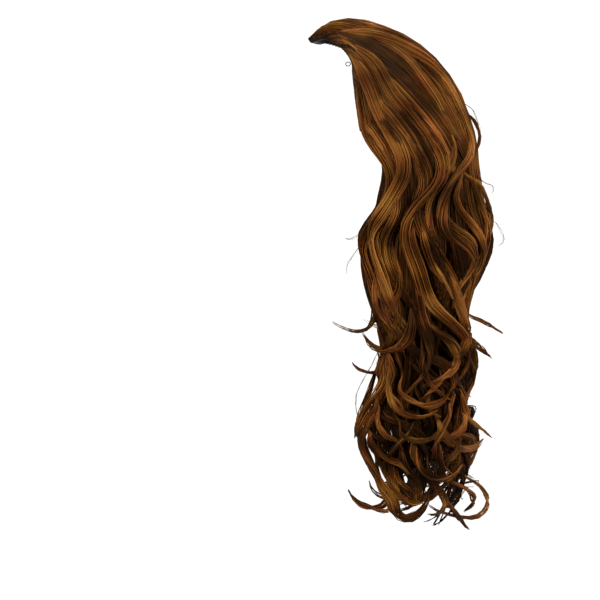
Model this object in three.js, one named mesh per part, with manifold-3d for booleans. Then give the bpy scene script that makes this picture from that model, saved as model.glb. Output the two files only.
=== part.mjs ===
// Half wig: long wavy hair on a half cap that covers the back of the head, in millimetres.
// The wearer faces -Y and +Z is up. The origin is where the top of the head meets the inside of the cap.
import * as THREE from "three";
import { mergeVertices } from "three/addons/utils/BufferGeometryUtils.js";
import Module from "manifold-3d";

const wasm = await Module();
wasm.setup();

const { degToRad, lerp, smoothstep } = THREE.MathUtils;

// Head that the wig is worn on: an ellipsoid whose top is the origin
const HEAD_HALF_BREADTH = 74;
const HEAD_HALF_LENGTH = 94;
const HEAD_HALF_HEIGHT = 93;
const HEAD_SET_BACK = 2;
const HEAD_HALF = new THREE.Vector3(HEAD_HALF_BREADTH, HEAD_HALF_LENGTH, HEAD_HALF_HEIGHT);
const HEAD_CENTRE = new THREE.Vector3(0, HEAD_SET_BACK, -HEAD_HALF_HEIGHT);

// Front edge, by the turn in degrees from the top of the head towards an ear
const EDGE_TOP_Y = -43;
const EDGE_SIDE_Y = 17;
const EDGE_BEND_TURN = 64;
const EDGE_END_TURN = 104;
const EDGE_DRIFT_PER_DEGREE = 0.22;

// Nape edge of the cap
const NAPE_Z = -150;
const NAPE_CORNER_RISE = 22;
const NAPE_CORNER_PLAN = 62;

// Walls and clearances
const CAP_WALL = 1.6;
const BAND_WIDTH = 9;
const BAND_WALL = 2.2;
const CLEARANCE = 0.3;
const HAIR_LIFT = BAND_WALL + 3 * CLEARANCE;
const EDGE_COLUMNS = 30;
const CAP_ROWS = 12;

// Small loop on the front edge at the left temple
const LOOP = { turn: 57, radius: 2.6, cord: 0.55, sides: 6, steps: 12 };

// Comb under the front band
const COMB = { spine: 5, teeth: 11, pitch: 3.4, tooth: 1.6, reach: 14, wall: 1.2, back: 3, drop: 1.3 };

// Thickness of the combed hair from the front edge to where it leaves the head, at the top and at the side
const CROWN_LIFT = [
  { along: 0.0, top: 5, side: 4.5 },
  { along: 0.07, top: 10, side: 6 },
  { along: 0.16, top: 15.5, side: 8 },
  { along: 0.27, top: 17, side: 10 },
  { along: 0.41, top: 14, side: 12 },
  { along: 0.55, top: 18, side: 14 },
  { along: 0.77, top: 25, side: 16 },
  { along: 1.0, top: 41, side: 18 },
];
const LEAVES_AT_TOP = 0.78;
const LEAVES_AT_SIDE = 0.15;
const CROWN_ROWS = 12;
const DROP_ROWS = 5;
const LIFT_EASE = 1.4;
const ROW_EASE = 1.3; // the rows lie closer together towards the front edge

// Outline of the hanging hair seen from above, level by level
const ENVELOPE = [
  { z: -165, centreY: 88, halfX: 88, halfY: 60 },
  { z: -196, centreY: 88, halfX: 93, halfY: 65 },
  { z: -230, centreY: 81, halfX: 101, halfY: 81 },
  { z: -315, centreY: 76, halfX: 92, halfY: 60 },
  { z: -373, centreY: 81, halfX: 90, halfY: 58 },
  { z: -446, centreY: 71, halfX: 95, halfY: 73 },
  { z: -500, centreY: 70, halfX: 86, halfY: 66 },
  { z: -560, centreY: 72, halfX: 74, halfY: 60 },
];
const FALL_TOP_Z = ENVELOPE[0].z;
const PLAN_PER_TURN = 125 / EDGE_END_TURN;

// Combed ribs, one for each outer lock
const RIB_TURN = 16;
const RIB_AT_FRONT = 0.5;
const RIB_AT_DROP = 8;
const COLUMNS_PER_RIB = 3;

// Hanging locks: turn on the front edge, place in the outline (1 is its rim), end height, width, sway of the
// waves, number of waves, phase in degrees, rise and fall of the end curl, and forward flick
const LOCKS = [
  { turn: 103, ring: 0.95, end: -322, wide: 17, sway: 6, waves: 0.7, phase: 320, curl: 4, flick: 44 },
  { turn: 98, ring: 0.9, end: -524, wide: 32, sway: 9, waves: 1.8, phase: 320, curl: 10, flick: 24 },
  { turn: 84, ring: 0.86, end: -538, wide: 32, sway: 11, waves: 2.0, phase: 320, curl: 16, flick: 26 },
  { turn: 67, ring: 0.84, end: -540, wide: 32, sway: 12, waves: 2.5, phase: 300, curl: 20, flick: 0 },
  { turn: 51, ring: 0.84, end: -526, wide: 32, sway: 12, waves: 2.8, phase: 330, curl: 20, flick: 0 },
  { turn: 35, ring: 0.84, end: -540, wide: 31, sway: 12, waves: 3.0, phase: 350, curl: 20, flick: -10 },
  { turn: 19, ring: 0.84, end: -530, wide: 31, sway: 12, waves: 3.2, phase: 10, curl: 18, flick: -16 },
  { turn: 3, ring: 0.84, end: -520, wide: 31, sway: 12, waves: 3.4, phase: 31, curl: 20, flick: -12 },
  { turn: -13, ring: 0.84, end: -542, wide: 31, sway: 12, waves: 3.2, phase: 50, curl: 18, flick: -8 },
  { turn: -29, ring: 0.84, end: -520, wide: 31, sway: 12, waves: 3.0, phase: 20, curl: 20, flick: 0 },
  { turn: -46, ring: 0.84, end: -545, wide: 32, sway: 12, waves: 2.7, phase: 350, curl: 18, flick: 0 },
  { turn: -64, ring: 0.84, end: -512, wide: 32, sway: 12, waves: 2.5, phase: 320, curl: 20, flick: 0 },
  { turn: -82, ring: 0.86, end: -538, wide: 31, sway: 11, waves: 2.0, phase: 300, curl: 16, flick: 24 },
  { turn: -98, ring: 0.9, end: -500, wide: 30, sway: 9, waves: 1.8, phase: 325, curl: 10, flick: 18 },
];
const LOCK_DEPTH = 0.81; // depth of a lock as a share of its width
const LOCK_SIDES = 6;
const LOCK_STEPS = 14;
const LOCK_OVERLAP = 14; // the locks start this far above the level they are cut at
const STEP_EASE = 0.78;
const WAVE_EASE = 1.8; // the waves tighten towards the ends
const SWAY_STARTS_FULL = 0.3;
const SWAY_GROWTH = 0.6;
const OUTWARD_SWAY = 0.55;
const CURL_STARTS = 0.5;
const FLICK_STARTS = 0.7;
const TOP_SHARE = 0.84; // size of a lock at its top, as a share of its full size
const TAPER_STARTS = 0.6;
const TAPER = 0.62;

// Inner hair that the locks are fused to, as shares of the outline
const BACKING = { outer: 0.72, inner: 0.36, furrow: 0.1, planEnd: 112, columns: 18, end: -490, ragged: 26 };
const BACKING_STEPS = 5;

// Plan angle of the partings between the hanging sections
const PARTING_PLAN = 46;
const FAR = 1000;

// Colour and roughness of each piece
const FINISHES = {
  cap: { color: 0x2e1a10, roughness: 0.9 },
  front_band: { color: 0x29190f, roughness: 0.85 },
  temple_loop: { color: 0x2b1a0e, roughness: 0.7 },
  front_comb: { color: 0x1f120a, roughness: 0.35 },
  crown_hair: { color: 0x6b3514, roughness: 0.45 },
  fall_left: { color: 0x663112, roughness: 0.45 },
  fall_back: { color: 0x633011, roughness: 0.45 },
  fall_right: { color: 0x663112, roughness: 0.45 },
};

// Unit vector of a point on the front edge, in the head's own proportions.
function edgeDirection(turn) {
  const away = Math.abs(turn);
  const swept = lerp(EDGE_TOP_Y, EDGE_SIDE_Y, smoothstep(away, 0, EDGE_BEND_TURN));
  const y = swept + EDGE_DRIFT_PER_DEGREE * Math.max(0, away - EDGE_BEND_TURN);
  const back = (y - HEAD_CENTRE.y) / HEAD_HALF.y;
  const rim = Math.sqrt(1 - back * back);
  const angle = degToRad(turn);
  return new THREE.Vector3(rim * Math.sin(angle), back, rim * Math.cos(angle));
}

// Unit vector of the point on the nape edge that the line from the front edge runs to.
function napeDirection(turn) {
  const share = turn / EDGE_END_TURN;
  const z = NAPE_Z + NAPE_CORNER_RISE * share * share;
  const height = (z - HEAD_CENTRE.z) / HEAD_HALF.z;
  const rim = Math.sqrt(1 - height * height);
  const plan = degToRad(share * NAPE_CORNER_PLAN);
  return new THREE.Vector3(rim * Math.sin(plan), rim * Math.cos(plan), height);
}

// Point on the line that runs from the front edge (share 0) to the nape (share 1), lifted off the head.
function headPoint(turn, share, lift) {
  const from = edgeDirection(turn);
  const to = napeDirection(turn);
  const angle = from.angleTo(to);
  const direction = from
    .multiplyScalar(Math.sin((1 - share) * angle) / Math.sin(angle))
    .addScaledVector(to, Math.sin(share * angle) / Math.sin(angle));
  const normal = direction.clone().divide(HEAD_HALF).normalize();
  return direction.multiply(HEAD_HALF).add(HEAD_CENTRE).addScaledVector(normal, lift);
}

// Length of the line from the front edge to the nape.
function lineLength(turn) {
  const steps = 12;
  let length = 0;
  for (let i = 0; i < steps; i++) {
    length += headPoint(turn, i / steps, 0).distanceTo(headPoint(turn, (i + 1) / steps, 0));
  }
  return length;
}

// Value of one column of a table, eased between its rows.
function fromTable(rows, key, at, column) {
  const rising = rows[rows.length - 1][key] > rows[0][key];
  const next = rows.findIndex((row) => (rising ? row[key] >= at : row[key] <= at));
  if (next === 0) return rows[0][column];
  if (next < 0) return rows[rows.length - 1][column];
  const [a, b] = [rows[next - 1], rows[next]];
  const share = (at - a[key]) / (b[key] - a[key]);
  return lerp(a[column], b[column], smoothstep(share, 0, 1));
}

// Point in the outline of the hanging hair: ring 1 is the rim and plan angle 0 is the middle of the back.
function outlinePoint(plan, ring, z) {
  const angle = degToRad(plan);
  const x = ring * fromTable(ENVELOPE, "z", z, "halfX") * Math.sin(angle);
  const y = ring * fromTable(ENVELOPE, "z", z, "halfY") * Math.cos(angle);
  return new THREE.Vector3(x, y + fromTable(ENVELOPE, "z", z, "centreY"), z);
}

// Indexed geometry from its points and triangles.
function geometryOf(points, triangles) {
  const geometry = new THREE.BufferGeometry().setFromPoints(points);
  geometry.setIndex(triangles);
  return geometry;
}

// Closed wall between two grids of points with the same rows and columns, the outer one seen from outside.
function wallGeometry(outer, inner) {
  const rows = outer.length;
  const columns = outer[0].length;
  const last = columns - 1;
  const points = [...outer.flat(), ...inner.flat()];
  const triangles = [];
  const outside = (r, c) => r * columns + c;
  const inside = (r, c) => rows * columns + outside(r, c);
  const quad = (a, b, c, d) => triangles.push(a, b, c, a, c, d);
  for (let r = 0; r + 1 < rows; r++) {
    for (let c = 0; c + 1 < columns; c++) {
      quad(outside(r, c), outside(r, c + 1), outside(r + 1, c + 1), outside(r + 1, c));
      quad(inside(r, c), inside(r + 1, c), inside(r + 1, c + 1), inside(r, c + 1));
    }
    quad(outside(r, 0), outside(r + 1, 0), inside(r + 1, 0), inside(r, 0));
    quad(outside(r + 1, last), outside(r, last), inside(r, last), inside(r + 1, last));
  }
  for (let c = 0; c + 1 < columns; c++) {
    quad(outside(0, c + 1), outside(0, c), inside(0, c), inside(0, c + 1));
    quad(outside(rows - 1, c), outside(rows - 1, c + 1), inside(rows - 1, c + 1), inside(rows - 1, c));
  }
  return geometryOf(points, triangles);
}

// Closed solid through rings of points, each end drawn in to a point.
function loftGeometry(rings, first, last) {
  const sides = rings[0].length;
  const points = [...rings.flat(), first, last];
  const triangles = [];
  const tip = rings.length * sides;
  for (let i = 0; i < sides; i++) {
    const j = (i + 1) % sides;
    for (let r = 0; r + 1 < rings.length; r++) {
      const [a, b] = [r * sides + i, r * sides + j];
      triangles.push(a, b, b + sides, a, b + sides, a + sides);
    }
    const end = (rings.length - 1) * sides;
    triangles.push(tip, j, i, tip + 1, end + i, end + j);
  }
  return geometryOf(points, triangles);
}

// Solid that manifold-3d can join and cut, from a closed geometry.
function solidOf(geometry) {
  const bare = geometry.clone();
  bare.deleteAttribute("normal");
  bare.deleteAttribute("uv");
  const merged = mergeVertices(bare);
  return new wasm.Manifold(
    new wasm.Mesh({
      numProp: 3,
      vertProperties: new Float32Array(merged.attributes.position.array),
      triVerts: new Uint32Array(merged.index.array),
    }),
  );
}

// Geometry of a joined or cut solid.
function geometryOfSolid(solid) {
  const mesh = solid.getMesh();
  const geometry = new THREE.BufferGeometry();
  geometry.setAttribute("position", new THREE.BufferAttribute(mesh.vertProperties, 3));
  geometry.setIndex(new THREE.BufferAttribute(mesh.triVerts, 1));
  geometry.computeVertexNormals();
  return geometry;
}

// Largest body of a cut solid.
function largestBody(solid) {
  return solid.decompose().sort((a, b) => b.volume() - a.volume())[0];
}

// All that lies on the side of a plane that its normal points to.
function halfSpace(normal, through) {
  const box = new THREE.BoxGeometry(2 * FAR, 2 * FAR, 2 * FAR);
  box.translate(0, 0, FAR);
  const turn = new THREE.Quaternion().setFromUnitVectors(new THREE.Vector3(0, 0, 1), normal);
  box.applyQuaternion(turn).translate(through.x, through.y, through.z);
  return solidOf(box);
}

// Half cap: a wall from behind the front band to the nape.
function capGeometry() {
  const grid = (lift) =>
    Array.from({ length: CAP_ROWS + 1 }, (_, r) =>
      Array.from({ length: EDGE_COLUMNS + 1 }, (_, c) => {
        const turn = lerp(-EDGE_END_TURN, EDGE_END_TURN, c / EDGE_COLUMNS);
        const start = (BAND_WIDTH + CLEARANCE) / lineLength(turn);
        return headPoint(turn, lerp(start, 1, r / CAP_ROWS), lift);
      }),
    );
  return wallGeometry(grid(CAP_WALL), grid(0));
}

// Band along the front edge, from ear to ear over the top.
function bandGeometry() {
  const profile = [
    { along: 0.0, lift: 0.5 * BAND_WALL },
    { along: 0.12, lift: BAND_WALL },
    { along: 1.0, lift: BAND_WALL },
  ];
  const grid = (liftOf) =>
    profile.map(({ along, lift }) =>
      Array.from({ length: EDGE_COLUMNS + 1 }, (_, c) => {
        const turn = lerp(-EDGE_END_TURN, EDGE_END_TURN, c / EDGE_COLUMNS);
        return headPoint(turn, (along * BAND_WIDTH) / lineLength(turn), liftOf(lift));
      }),
    );
  return wallGeometry(
    grid((lift) => lift),
    grid(() => 0),
  );
}

// Small ring that lies flat against the head, in front of the band.
function loopMesh() {
  const { radius, cord, sides, steps } = LOOP;
  const ring = namedMesh("temple_loop", new THREE.TorusGeometry(radius, cord, sides, steps));
  const ahead = radius + cord + CLEARANCE;
  const lift = cord + CLEARANCE;
  const edge = headPoint(LOOP.turn, 0, 0);
  const outward = headPoint(LOOP.turn, 0, 1).sub(edge);
  const alongEdge = headPoint(LOOP.turn + 1, 0, 0).sub(edge);
  const forward = new THREE.Vector3().crossVectors(alongEdge, outward).normalize();
  ring.position.copy(edge).addScaledVector(outward, lift).addScaledVector(forward, ahead);
  ring.quaternion.setFromUnitVectors(new THREE.Vector3(0, 0, 1), outward);
  return ring;
}

// Comb outline, drawn flat and then laid on the inside of the band with its teeth towards the back.
function combGeometry() {
  const half = ((COMB.teeth - 1) * COMB.pitch + COMB.tooth) / 2;
  const outline = new THREE.Shape().moveTo(half, 0);
  for (let i = COMB.teeth - 1; i >= 0; i--) {
    outline.lineTo(-half + i * COMB.pitch, 0);
  }
  for (let i = 0; i < COMB.teeth; i++) {
    const left = -half + i * COMB.pitch;
    const end = COMB.spine + COMB.reach;
    outline.lineTo(left, COMB.spine);
    outline.lineTo(left, end - COMB.tooth);
    outline.lineTo(left + COMB.tooth / 2, end);
    outline.lineTo(left + COMB.tooth, end - COMB.tooth);
    outline.lineTo(left + COMB.tooth, COMB.spine);
  }
  outline.closePath();
  const geometry = new THREE.ExtrudeGeometry(outline, { depth: COMB.wall, bevelEnabled: false });
  const degreesPerMm = 180 / Math.PI / HEAD_HALF_HEIGHT;
  const places = geometry.attributes.position;
  for (let i = 0; i < places.count; i++) {
    const turn = places.getX(i) * degreesPerMm;
    const share = (COMB.back + places.getY(i)) / lineLength(turn);
    const point = headPoint(turn, share, places.getZ(i) - COMB.wall - COMB.drop);
    places.setXYZ(i, point.x, point.y, point.z);
  }
  return geometry;
}

// Share of the line at which the hair leaves the head and hangs.
function leavesAt(turn) {
  return lerp(LEAVES_AT_TOP, LEAVES_AT_SIDE, Math.abs(turn) / EDGE_END_TURN);
}

// Rounded combed rib with a sharp valley on each side: 1 on its crest and 0 in the valley.
function rib(turn) {
  return Math.abs(Math.cos((Math.PI * turn) / RIB_TURN));
}

// Combed hair over the cap: a thick wall whose foot is level with the top of the hanging hair.
function crownGeometry() {
  const columns = Math.round((2 * EDGE_END_TURN * COLUMNS_PER_RIB) / RIB_TURN);
  const turnOf = (c) => lerp(-EDGE_END_TURN, EDGE_END_TURN, c / columns);
  const turns = Array.from({ length: columns + 1 }, (_, c) => turnOf(c));
  const alongs = Array.from({ length: CROWN_ROWS + 1 }, (_, r) => (r / CROWN_ROWS) ** ROW_EASE);
  const outer = alongs.map((along) =>
    turns.map((turn) => {
      const aside = (Math.abs(turn) / EDGE_END_TURN) ** LIFT_EASE;
      const top = fromTable(CROWN_LIFT, "along", along, "top");
      const side = fromTable(CROWN_LIFT, "along", along, "side");
      const groove = lerp(RIB_AT_FRONT, 0.5 * RIB_AT_DROP, along) * (1 - rib(turn));
      return headPoint(turn, along * leavesAt(turn), lerp(top, side, aside) - groove);
    }),
  );
  const inner = alongs.map((along) =>
    turns.map((turn) => headPoint(turn, along * leavesAt(turn), HAIR_LIFT)),
  );
  for (let row = 1; row <= DROP_ROWS; row++) {
    const share = row / DROP_ROWS;
    outer.push(
      turns.map((turn, c) => {
        const foot = outlinePoint(turn * PLAN_PER_TURN, 1, FALL_TOP_Z);
        const groove = lerp(0.5, 1, share) * RIB_AT_DROP * (1 - rib(turn));
        const inwards = new THREE.Vector3(0, HEAD_CENTRE.y, foot.z).sub(foot).normalize();
        foot.addScaledVector(inwards, groove);
        const start = outer[CROWN_ROWS][c];
        const z = lerp(start.z, foot.z, share);
        const out = smoothstep(share, 0, 1);
        return new THREE.Vector3(lerp(start.x, foot.x, out), lerp(start.y, foot.y, out), z);
      }),
    );
    inner.push(
      turns.map((turn) => {
        const towardsNape = Math.min(1, row / (DROP_ROWS - 1));
        const point = headPoint(turn, lerp(leavesAt(turn), 1, towardsNape), HAIR_LIFT);
        return row < DROP_ROWS ? point : point.setZ(FALL_TOP_Z);
      }),
    );
  }
  return wallGeometry(outer, inner);
}

// How far down a lock each of its sections lies, as a share of its height.
function lockStep(i) {
  return (i / LOCK_STEPS) ** STEP_EASE;
}

// Middle line of a hanging lock: down the outline, swaying in waves that grow and curl towards the end.
function lockPath(lock) {
  const top = FALL_TOP_Z + LOCK_OVERLAP;
  const plan = lock.turn * PLAN_PER_TURN;
  const outward = new THREE.Vector3(Math.sin(degToRad(plan)), Math.cos(degToRad(plan)), 0);
  const sideways = new THREE.Vector3(outward.y, -outward.x, 0);
  return Array.from({ length: LOCK_STEPS + 1 }, (_, i) => {
    const down = lockStep(i);
    const point = outlinePoint(plan, lock.ring, lerp(top, lock.end, down));
    const phase = degToRad(lock.phase) + 2 * Math.PI * lock.waves * down ** WAVE_EASE;
    const sway = lock.sway * smoothstep(down, 0, SWAY_STARTS_FULL) * (1 + SWAY_GROWTH * down);
    point.addScaledVector(outward, OUTWARD_SWAY * sway * Math.sin(phase));
    point.addScaledVector(sideways, Math.sign(lock.turn || 1) * sway * Math.cos(phase));
    point.z += lock.curl * smoothstep(down, CURL_STARTS, 1) * Math.sin(phase);
    point.y -= lock.flick * smoothstep(down, FLICK_STARTS, 1) ** 2;
    return point;
  });
}

// A lock: flat oval sections along its middle line, widest near the top and drawn in to its tip.
function lockGeometry(lock) {
  const path = lockPath(lock);
  const rings = [];
  for (let i = 0; i < LOCK_STEPS; i++) {
    const down = lockStep(i);
    const along = path[i + 1].clone().sub(path[Math.max(0, i - 1)]).normalize();
    const out = new THREE.Vector3(path[i].x, path[i].y - HEAD_CENTRE.y, 0);
    const side = new THREE.Vector3().crossVectors(along, out).normalize();
    const face = new THREE.Vector3().crossVectors(side, along);
    const full = lerp(TOP_SHARE, 1, smoothstep(down, 0, SWAY_STARTS_FULL));
    const size = 0.5 * full * (1 - TAPER * smoothstep(down, TAPER_STARTS, 1));
    rings.push(
      Array.from({ length: LOCK_SIDES }, (_, k) => {
        const angle = (2 * Math.PI * k) / LOCK_SIDES;
        return path[i]
          .clone()
          .addScaledVector(side, size * lock.wide * Math.cos(angle))
          .addScaledVector(face, -size * LOCK_DEPTH * lock.wide * Math.sin(angle));
      }),
    );
  }
  return loftGeometry(rings, path[0], path[LOCK_STEPS]);
}

// Inner hair: a furrowed crescent that is open to the front and ragged at its foot.
function backingGeometry() {
  const { outer, inner, furrow, planEnd, columns, end, ragged } = BACKING;
  const grid = (ring, sense) =>
    Array.from({ length: BACKING_STEPS + 1 }, (_, s) => {
      const down = s / BACKING_STEPS;
      return Array.from({ length: columns + 1 }, (_, c) => {
        const crest = c % 2;
        const plan = lerp(-planEnd, planEnd, c / columns);
        const foot = end - ragged * crest + 0.5 * ragged * Math.cos(degToRad(5 * plan));
        const drawnIn = lerp(ring, lerp(outer, inner, 0.45), smoothstep(down, 0.6, 1) * 0.85);
        const z = lerp(FALL_TOP_Z + LOCK_OVERLAP, foot, down);
        return outlinePoint(plan, drawnIn + sense * furrow * (crest - 0.5), z);
      });
    });
  return wallGeometry(grid(outer, 1), grid(inner, -1));
}

// Hanging hair: the locks joined to the inner hair, cut level at the top and parted into three sections.
function fallSections() {
  const joined = LOCKS.reduce(
    (hair, lock) => hair.add(solidOf(lockGeometry(lock))),
    solidOf(backingGeometry()),
  );
  const axis = new THREE.Vector3(0, ENVELOPE[0].centreY, 0);
  const hanging = joined.intersect(
    halfSpace(new THREE.Vector3(0, 0, -1), new THREE.Vector3(0, 0, FALL_TOP_Z - CLEARANCE)),
  );
  const beyond = (side, sense) => {
    const angle = degToRad(PARTING_PLAN);
    const normal = new THREE.Vector3(side * Math.cos(angle), -Math.sin(angle), 0).multiplyScalar(sense);
    return halfSpace(normal, axis.clone().addScaledVector(normal, CLEARANCE / 2));
  };
  const sideOf = (side) => {
    const normal = new THREE.Vector3(side, 0, 0);
    return halfSpace(normal, normal.clone().multiplyScalar(CLEARANCE / 2));
  };
  return {
    fall_left: hanging.intersect(beyond(1, 1)).intersect(sideOf(1)),
    fall_back: hanging.intersect(beyond(1, -1)).intersect(beyond(-1, -1)),
    fall_right: hanging.intersect(beyond(-1, 1)).intersect(sideOf(-1)),
  };
}

// Piece of the wig with its own finish.
function namedMesh(name, geometry) {
  const mesh = new THREE.Mesh(geometry, new THREE.MeshStandardMaterial({ ...FINISHES[name], metalness: 0 }));
  mesh.name = name;
  return mesh;
}

const wig = new THREE.Group();
wig.add(namedMesh("cap", capGeometry()));
wig.add(namedMesh("front_band", bandGeometry()));
wig.add(loopMesh());
wig.add(namedMesh("front_comb", combGeometry()));
wig.add(namedMesh("crown_hair", crownGeometry()));
for (const [name, solid] of Object.entries(fallSections())) {
  wig.add(namedMesh(name, geometryOfSolid(largestBody(solid))));
}

export default wig;
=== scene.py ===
"""Half wig of long wavy copper-brown hair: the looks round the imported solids.

Lengths in the forms below are millimetres, as in the part's source. Meshes are made in metres.
The wearer faces -Y, +Z is up, and the origin is where the top of the head meets the inside of the cap.
A turn is an angle in degrees along the front edge, from the top of the head, positive to the wearer's left.
"""

import logging
import math
from collections.abc import Callable
from dataclasses import dataclass, field, replace
from enum import Enum
from functools import partial

import bpy
import numpy as np
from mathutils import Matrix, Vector


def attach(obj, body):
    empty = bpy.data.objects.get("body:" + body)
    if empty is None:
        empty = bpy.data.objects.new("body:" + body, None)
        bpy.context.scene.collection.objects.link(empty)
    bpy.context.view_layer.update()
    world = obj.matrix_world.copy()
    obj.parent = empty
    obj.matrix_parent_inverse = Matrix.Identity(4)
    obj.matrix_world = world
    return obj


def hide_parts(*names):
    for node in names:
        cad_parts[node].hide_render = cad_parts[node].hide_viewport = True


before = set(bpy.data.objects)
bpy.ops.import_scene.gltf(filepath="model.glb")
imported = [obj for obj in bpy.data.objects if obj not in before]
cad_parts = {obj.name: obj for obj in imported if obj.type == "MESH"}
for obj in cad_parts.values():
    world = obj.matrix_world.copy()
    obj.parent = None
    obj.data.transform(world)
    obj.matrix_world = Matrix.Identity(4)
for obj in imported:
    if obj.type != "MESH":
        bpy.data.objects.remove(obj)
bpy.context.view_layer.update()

log = logging.getLogger("half_wig")
Array = np.ndarray
Colour = tuple[float, float, float]
Path = tuple[tuple[float, float], ...]
Place = Callable[[Array, Array], Array]
Socket = bpy.types.NodeSocket
Inputs = dict[str | int, Socket | float | tuple[float, ...]]
MM = 0.001
FULL_TURN = 2.0 * math.pi

# Turns that part the locks at the back, those at the sides and those beside the face
BACK_TURN = 40.0
SIDE_TURN = 75.0
FACE_TURN = 90.0
# Width under which a lock counts as thin
THIN_LOCK = 20.0
# Wave locks that start above this height are combed over the crown
CROWN_ROOTS = -60.0
# Distances below the origin between which the long waves pass into the tip curls
CURLS_BEGIN = 330.0
CURLS_FULL = 430.0
# Darkest and lightest tone of a strand
TONE_LIMITS = (0.02, 0.98)


class Section(Enum):
    """Hanging section of the hair that a lock belongs to."""

    LEFT = "left"
    BACK = "back"
    RIGHT = "right"


class Rooted(Enum):
    """Where the strands of a layer start."""

    FRONT_EDGE = "front_edge"
    CROWN = "crown"
    NAPE = "nape"


def lerp(a: Array | float, b: Array | float, share: Array | float) -> Array:
    """Returns the value a share of the way from a to b."""
    return a + (b - a) * share


def even(count: int) -> Array:
    """Returns evenly spaced shares from 0 to 1."""
    return np.linspace(0.0, 1.0, count)


def smooth(x: Array | float, low: float, high: float) -> Array:
    """Returns 0 below low and 1 above high, eased between them."""
    t = np.clip((np.asarray(x, float) - low) / (high - low), 0.0, 1.0)
    return t * t * (3.0 - 2.0 * t)


def unit(v: Array) -> Array:
    """Returns vectors scaled to a length of one."""
    return v / np.maximum(np.linalg.norm(v, axis=-1, keepdims=True), 1e-9)


def eased(places: tuple[float, ...], values: tuple[float, ...], at: Array) -> Array:
    """Reads a table with eased steps between its rows.

    Args:
        places: Rising places of the rows.
        values: Value of each row.
        at: Places to read.

    Returns:
        The value at each place.
    """
    x, y = np.asarray(places), np.asarray(values)
    low = np.clip(np.searchsorted(x, at) - 1, 0, len(x) - 2)
    share = np.clip((at - x[low]) / (x[low + 1] - x[low]), 0.0, 1.0)
    return lerp(y[low], y[low + 1], share * share * (3.0 - 2.0 * share))


def flowing(places: tuple[float, ...], values: tuple[float, ...], at: Array) -> Array:
    """Reads a table along a smooth curve through its rows.

    Args:
        places: Rising places of the rows.
        values: Value of each row.
        at: Places to read.

    Returns:
        The value at each place.
    """
    x, y = np.asarray(places), np.asarray(values)
    slope = np.gradient(y, x)
    low = np.clip(np.searchsorted(x, at) - 1, 0, len(x) - 2)
    span = x[low + 1] - x[low]
    t = np.clip((at - x[low]) / span, 0.0, 1.0)
    start = y[low] * (2 * t**3 - 3 * t**2 + 1) + slope[low] * span * (t**3 - 2 * t**2 + t)
    return start + y[low + 1] * (3 * t**2 - 2 * t**3) + slope[low + 1] * span * (t**3 - t**2)


def hermite(start: Array, end: Array, lead: Array, arrive: Array, count: int) -> Array:
    """Bends smooth curves between pairs of points.

    Args:
        start: First point of each curve.
        end: Last point of each curve.
        lead: Direction in which each curve leaves.
        arrive: Direction in which each curve arrives.
        count: Number of inner points.

    Returns:
        The inner points, curves by points by 3.
    """
    t = even(count + 2)[1:-1][None, :, None]
    a, b = start[:, None], end[:, None]
    h00, h10 = 2 * t**3 - 3 * t**2 + 1, t**3 - 2 * t**2 + t
    h01, h11 = -2 * t**3 + 3 * t**2, t**3 - t**2
    return a * h00 + lead[:, None] * h10 + b * h01 + arrive[:, None] * h11


def curve_through(path: Array, count: int) -> Array:
    """Draws a smooth curve through the points of a path.

    Args:
        path: Points that the curve passes.
        count: Number of points to return.

    Returns:
        Evenly spaced points on the curve.
    """
    pts = np.concatenate([[2 * path[0] - path[1]], path, [2 * path[-1] - path[-2]]])
    t = np.linspace(0.0, 1.0, 12, endpoint=False)[:, None]
    parts = []
    for p0, p1, p2, p3 in zip(pts, pts[1:], pts[2:], pts[3:]):
        bend = 2 * p0 - 5 * p1 + 4 * p2 - p3
        parts.append(0.5 * (2 * p1 + (p2 - p0) * t + bend * t**2 + (3 * p1 - p0 - 3 * p2 + p3) * t**3))
    dense = np.concatenate([*parts, path[-1:]])
    return resampled(dense, even(count))


def lengths_along(line: Array) -> Array:
    """Returns the length of a line up to each of its points."""
    return np.concatenate([[0.0], np.cumsum(np.linalg.norm(np.diff(line, axis=0), axis=1))])


def resampled(line: Array, shares: Array) -> Array:
    """Returns points of a line at given shares of its length."""
    length = lengths_along(line)
    return np.stack([np.interp(shares * length[-1], length, line[:, i]) for i in range(line.shape[1])], -1)


def tapered(count: int, steps: int, radius: Array | float, tip: float = 0.65) -> Array:
    """Draws strands in towards their tips.

    Args:
        count: Number of strands.
        steps: Points in a strand.
        radius: Full radius, of all strands or of each.
        tip: Share of the radius that is lost at the tip.

    Returns:
        Radius at each point, strands by points.
    """
    t = even(steps)
    full = np.broadcast_to(np.asarray(radius, float), (count,))
    thick = lerp(0.75, 1.0, smooth(t, 0.0, 0.08)) + 0.15 * smooth(t, 0.5, 0.8)
    return full[:, None] * thick * (1.0 - tip * smooth(t, 0.92, 1.0))


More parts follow.
